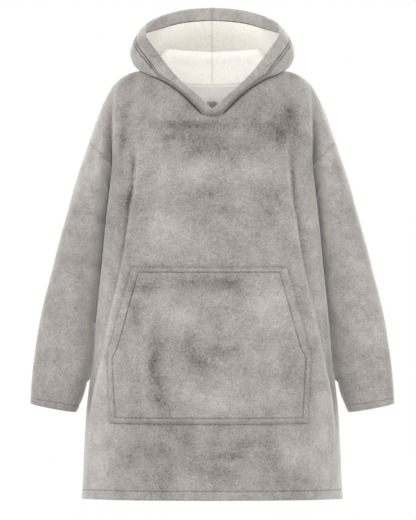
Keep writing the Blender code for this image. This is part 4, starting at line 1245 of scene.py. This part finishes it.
def topstitch_tree():
    """Stitches along a line: the line is cut into even pitches, with a small oblong at each."""
    tree = bpy.data.node_groups.new("topstitch", "GeometryNodeTree")
    tree.interface.new_socket("Line", in_out="INPUT", socket_type="NodeSocketGeometry")
    sizes = (("Pitch", STITCH_PITCH), ("Length", STITCH_LENGTH), ("Thickness", STITCH_THICKNESS))
    for size_name, size in sizes:
        socket = tree.interface.new_socket(size_name, in_out="INPUT", socket_type="NodeSocketFloat")
        socket.default_value = size
    tree.interface.new_socket("Stitches", in_out="OUTPUT", socket_type="NodeSocketGeometry")
    given = tree.nodes.new("NodeGroupInput")
    made = tree.nodes.new("NodeGroupOutput")
    curve = tree.nodes.new("GeometryNodeMeshToCurve")
    even = tree.nodes.new("GeometryNodeResampleCurve")
    even.mode = "LENGTH"
    tangent = tree.nodes.new("GeometryNodeInputTangent")
    turned = tree.nodes.new("FunctionNodeAlignRotationToVector")
    turned.axis = "X"
    size_node = tree.nodes.new("ShaderNodeCombineXYZ")
    bead = tree.nodes.new("GeometryNodeMeshUVSphere")
    bead.inputs["Segments"].default_value = 6
    bead.inputs["Rings"].default_value = 4
    bead.inputs["Radius"].default_value = 0.5
    placed = tree.nodes.new("GeometryNodeInstanceOnPoints")
    real = tree.nodes.new("GeometryNodeRealizeInstances")
    dyed = tree.nodes.new("GeometryNodeSetMaterial")
    dyed.inputs["Material"].default_value = thread
    for start, end in (
        (given.outputs["Line"], curve.inputs["Mesh"]),
        (curve.outputs["Curve"], even.inputs["Curve"]),
        (given.outputs["Pitch"], even.inputs["Length"]),
        (even.outputs["Curve"], placed.inputs["Points"]),
        (bead.outputs["Mesh"], placed.inputs["Instance"]),
        (tangent.outputs["Tangent"], turned.inputs["Vector"]),
        (turned.outputs["Rotation"], placed.inputs["Rotation"]),
        (given.outputs["Length"], size_node.inputs["X"]),
        (given.outputs["Thickness"], size_node.inputs["Y"]),
        (given.outputs["Thickness"], size_node.inputs["Z"]),
        (size_node.outputs["Vector"], placed.inputs["Scale"]),
        (placed.outputs["Instances"], real.inputs["Geometry"]),
        (real.outputs["Geometry"], dyed.inputs["Geometry"]),
        (dyed.outputs["Geometry"], made.inputs["Stitches"]),
    ):
        tree.links.new(start, end)
    return tree


topstitch = topstitch_tree()


def sew(name, lines, closed):
    """One piece of stitches along lines of points that lie in the cloth's grooves."""
    line_points, edges = [], []
    for line in lines:
        first = len(line_points)
        line_points.extend(line.tolist())
        edges.extend((k, k + 1) for k in range(first, len(line_points) - 1))
        if closed:
            edges.append((len(line_points) - 1, first))
    path = bpy.data.meshes.new(name + "_line")
    path.from_pydata(line_points, edges, [])
    row = bpy.data.objects.new(name, path)
    bpy.context.scene.collection.objects.link(row)
    stitching = row.modifiers.new("topstitch", "NODES")
    stitching.node_group = topstitch
    sizes = {"Pitch": STITCH_PITCH, "Length": STITCH_LENGTH, "Thickness": STITCH_THICKNESS}
    for item in topstitch.interface.items_tree:
        if item.in_out == "INPUT" and item.name in sizes:
            stitching[item.identifier] = sizes[item.name]
    bpy.context.view_layer.update()
    depsgraph = bpy.context.evaluated_depsgraph_get()
    sewn = bpy.data.meshes.new_from_object(row.evaluated_get(depsgraph))
    row.modifiers.clear()
    row.data = sewn
    sewn.shade_smooth()
    bpy.data.meshes.remove(path)
    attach(row, "root")


def in_groove(verts, ways, numbers):
    return verts[numbers] + ways[numbers] * (GROOVE - STITCH_SINKS)


hem_row = HEM_ROWS.index(HEM_WIDTH)
sew("front_hem_stitches", [in_groove(front_verts, front_ways, front_ids[hem_row])], False)
sew("back_hem_stitches", [in_groove(back_verts, back_ways, back_ids[hem_row])], False)
for (verts, ids, ways), hand in zip(sleeves, ("left", "right")):
    sew("cuff_%s_stitches" % hand, [in_groove(verts, ways, ids[-1 - hem_row])], True)
for (verts, ids, ways), hand in zip(hoods, ("left", "right")):
    band_rows = (BRIM_ROWS.index(BRIM_WIDTH), BRIM_ROWS.index(SECOND_LINE))
    band_lines = [in_groove(verts, ways, ids[:, band_row]) for band_row in band_rows]
    sew("hood_%s_stitches" % hand, band_lines, False)

pocket_skin = pocket_outer - pocket_ways * (pocket_relief - STITCH_SINKS / 2)[:, None]
pocket_lines = []
for line_at in (BORDER_STEPS.index(EDGE_LINE), len(BORDER_STEPS) + LINE_STEPS.index(0.0)):
    frame_ids = pocket_ids[line_at : -line_at, line_at : -line_at]
    around = (frame_ids[0], frame_ids[1:, -1], frame_ids[-1, -2::-1], frame_ids[-2:0:-1, 0])
    pocket_lines.append(pocket_skin[np.concatenate(around)])
sew("pocket_stitches", pocket_lines, True)
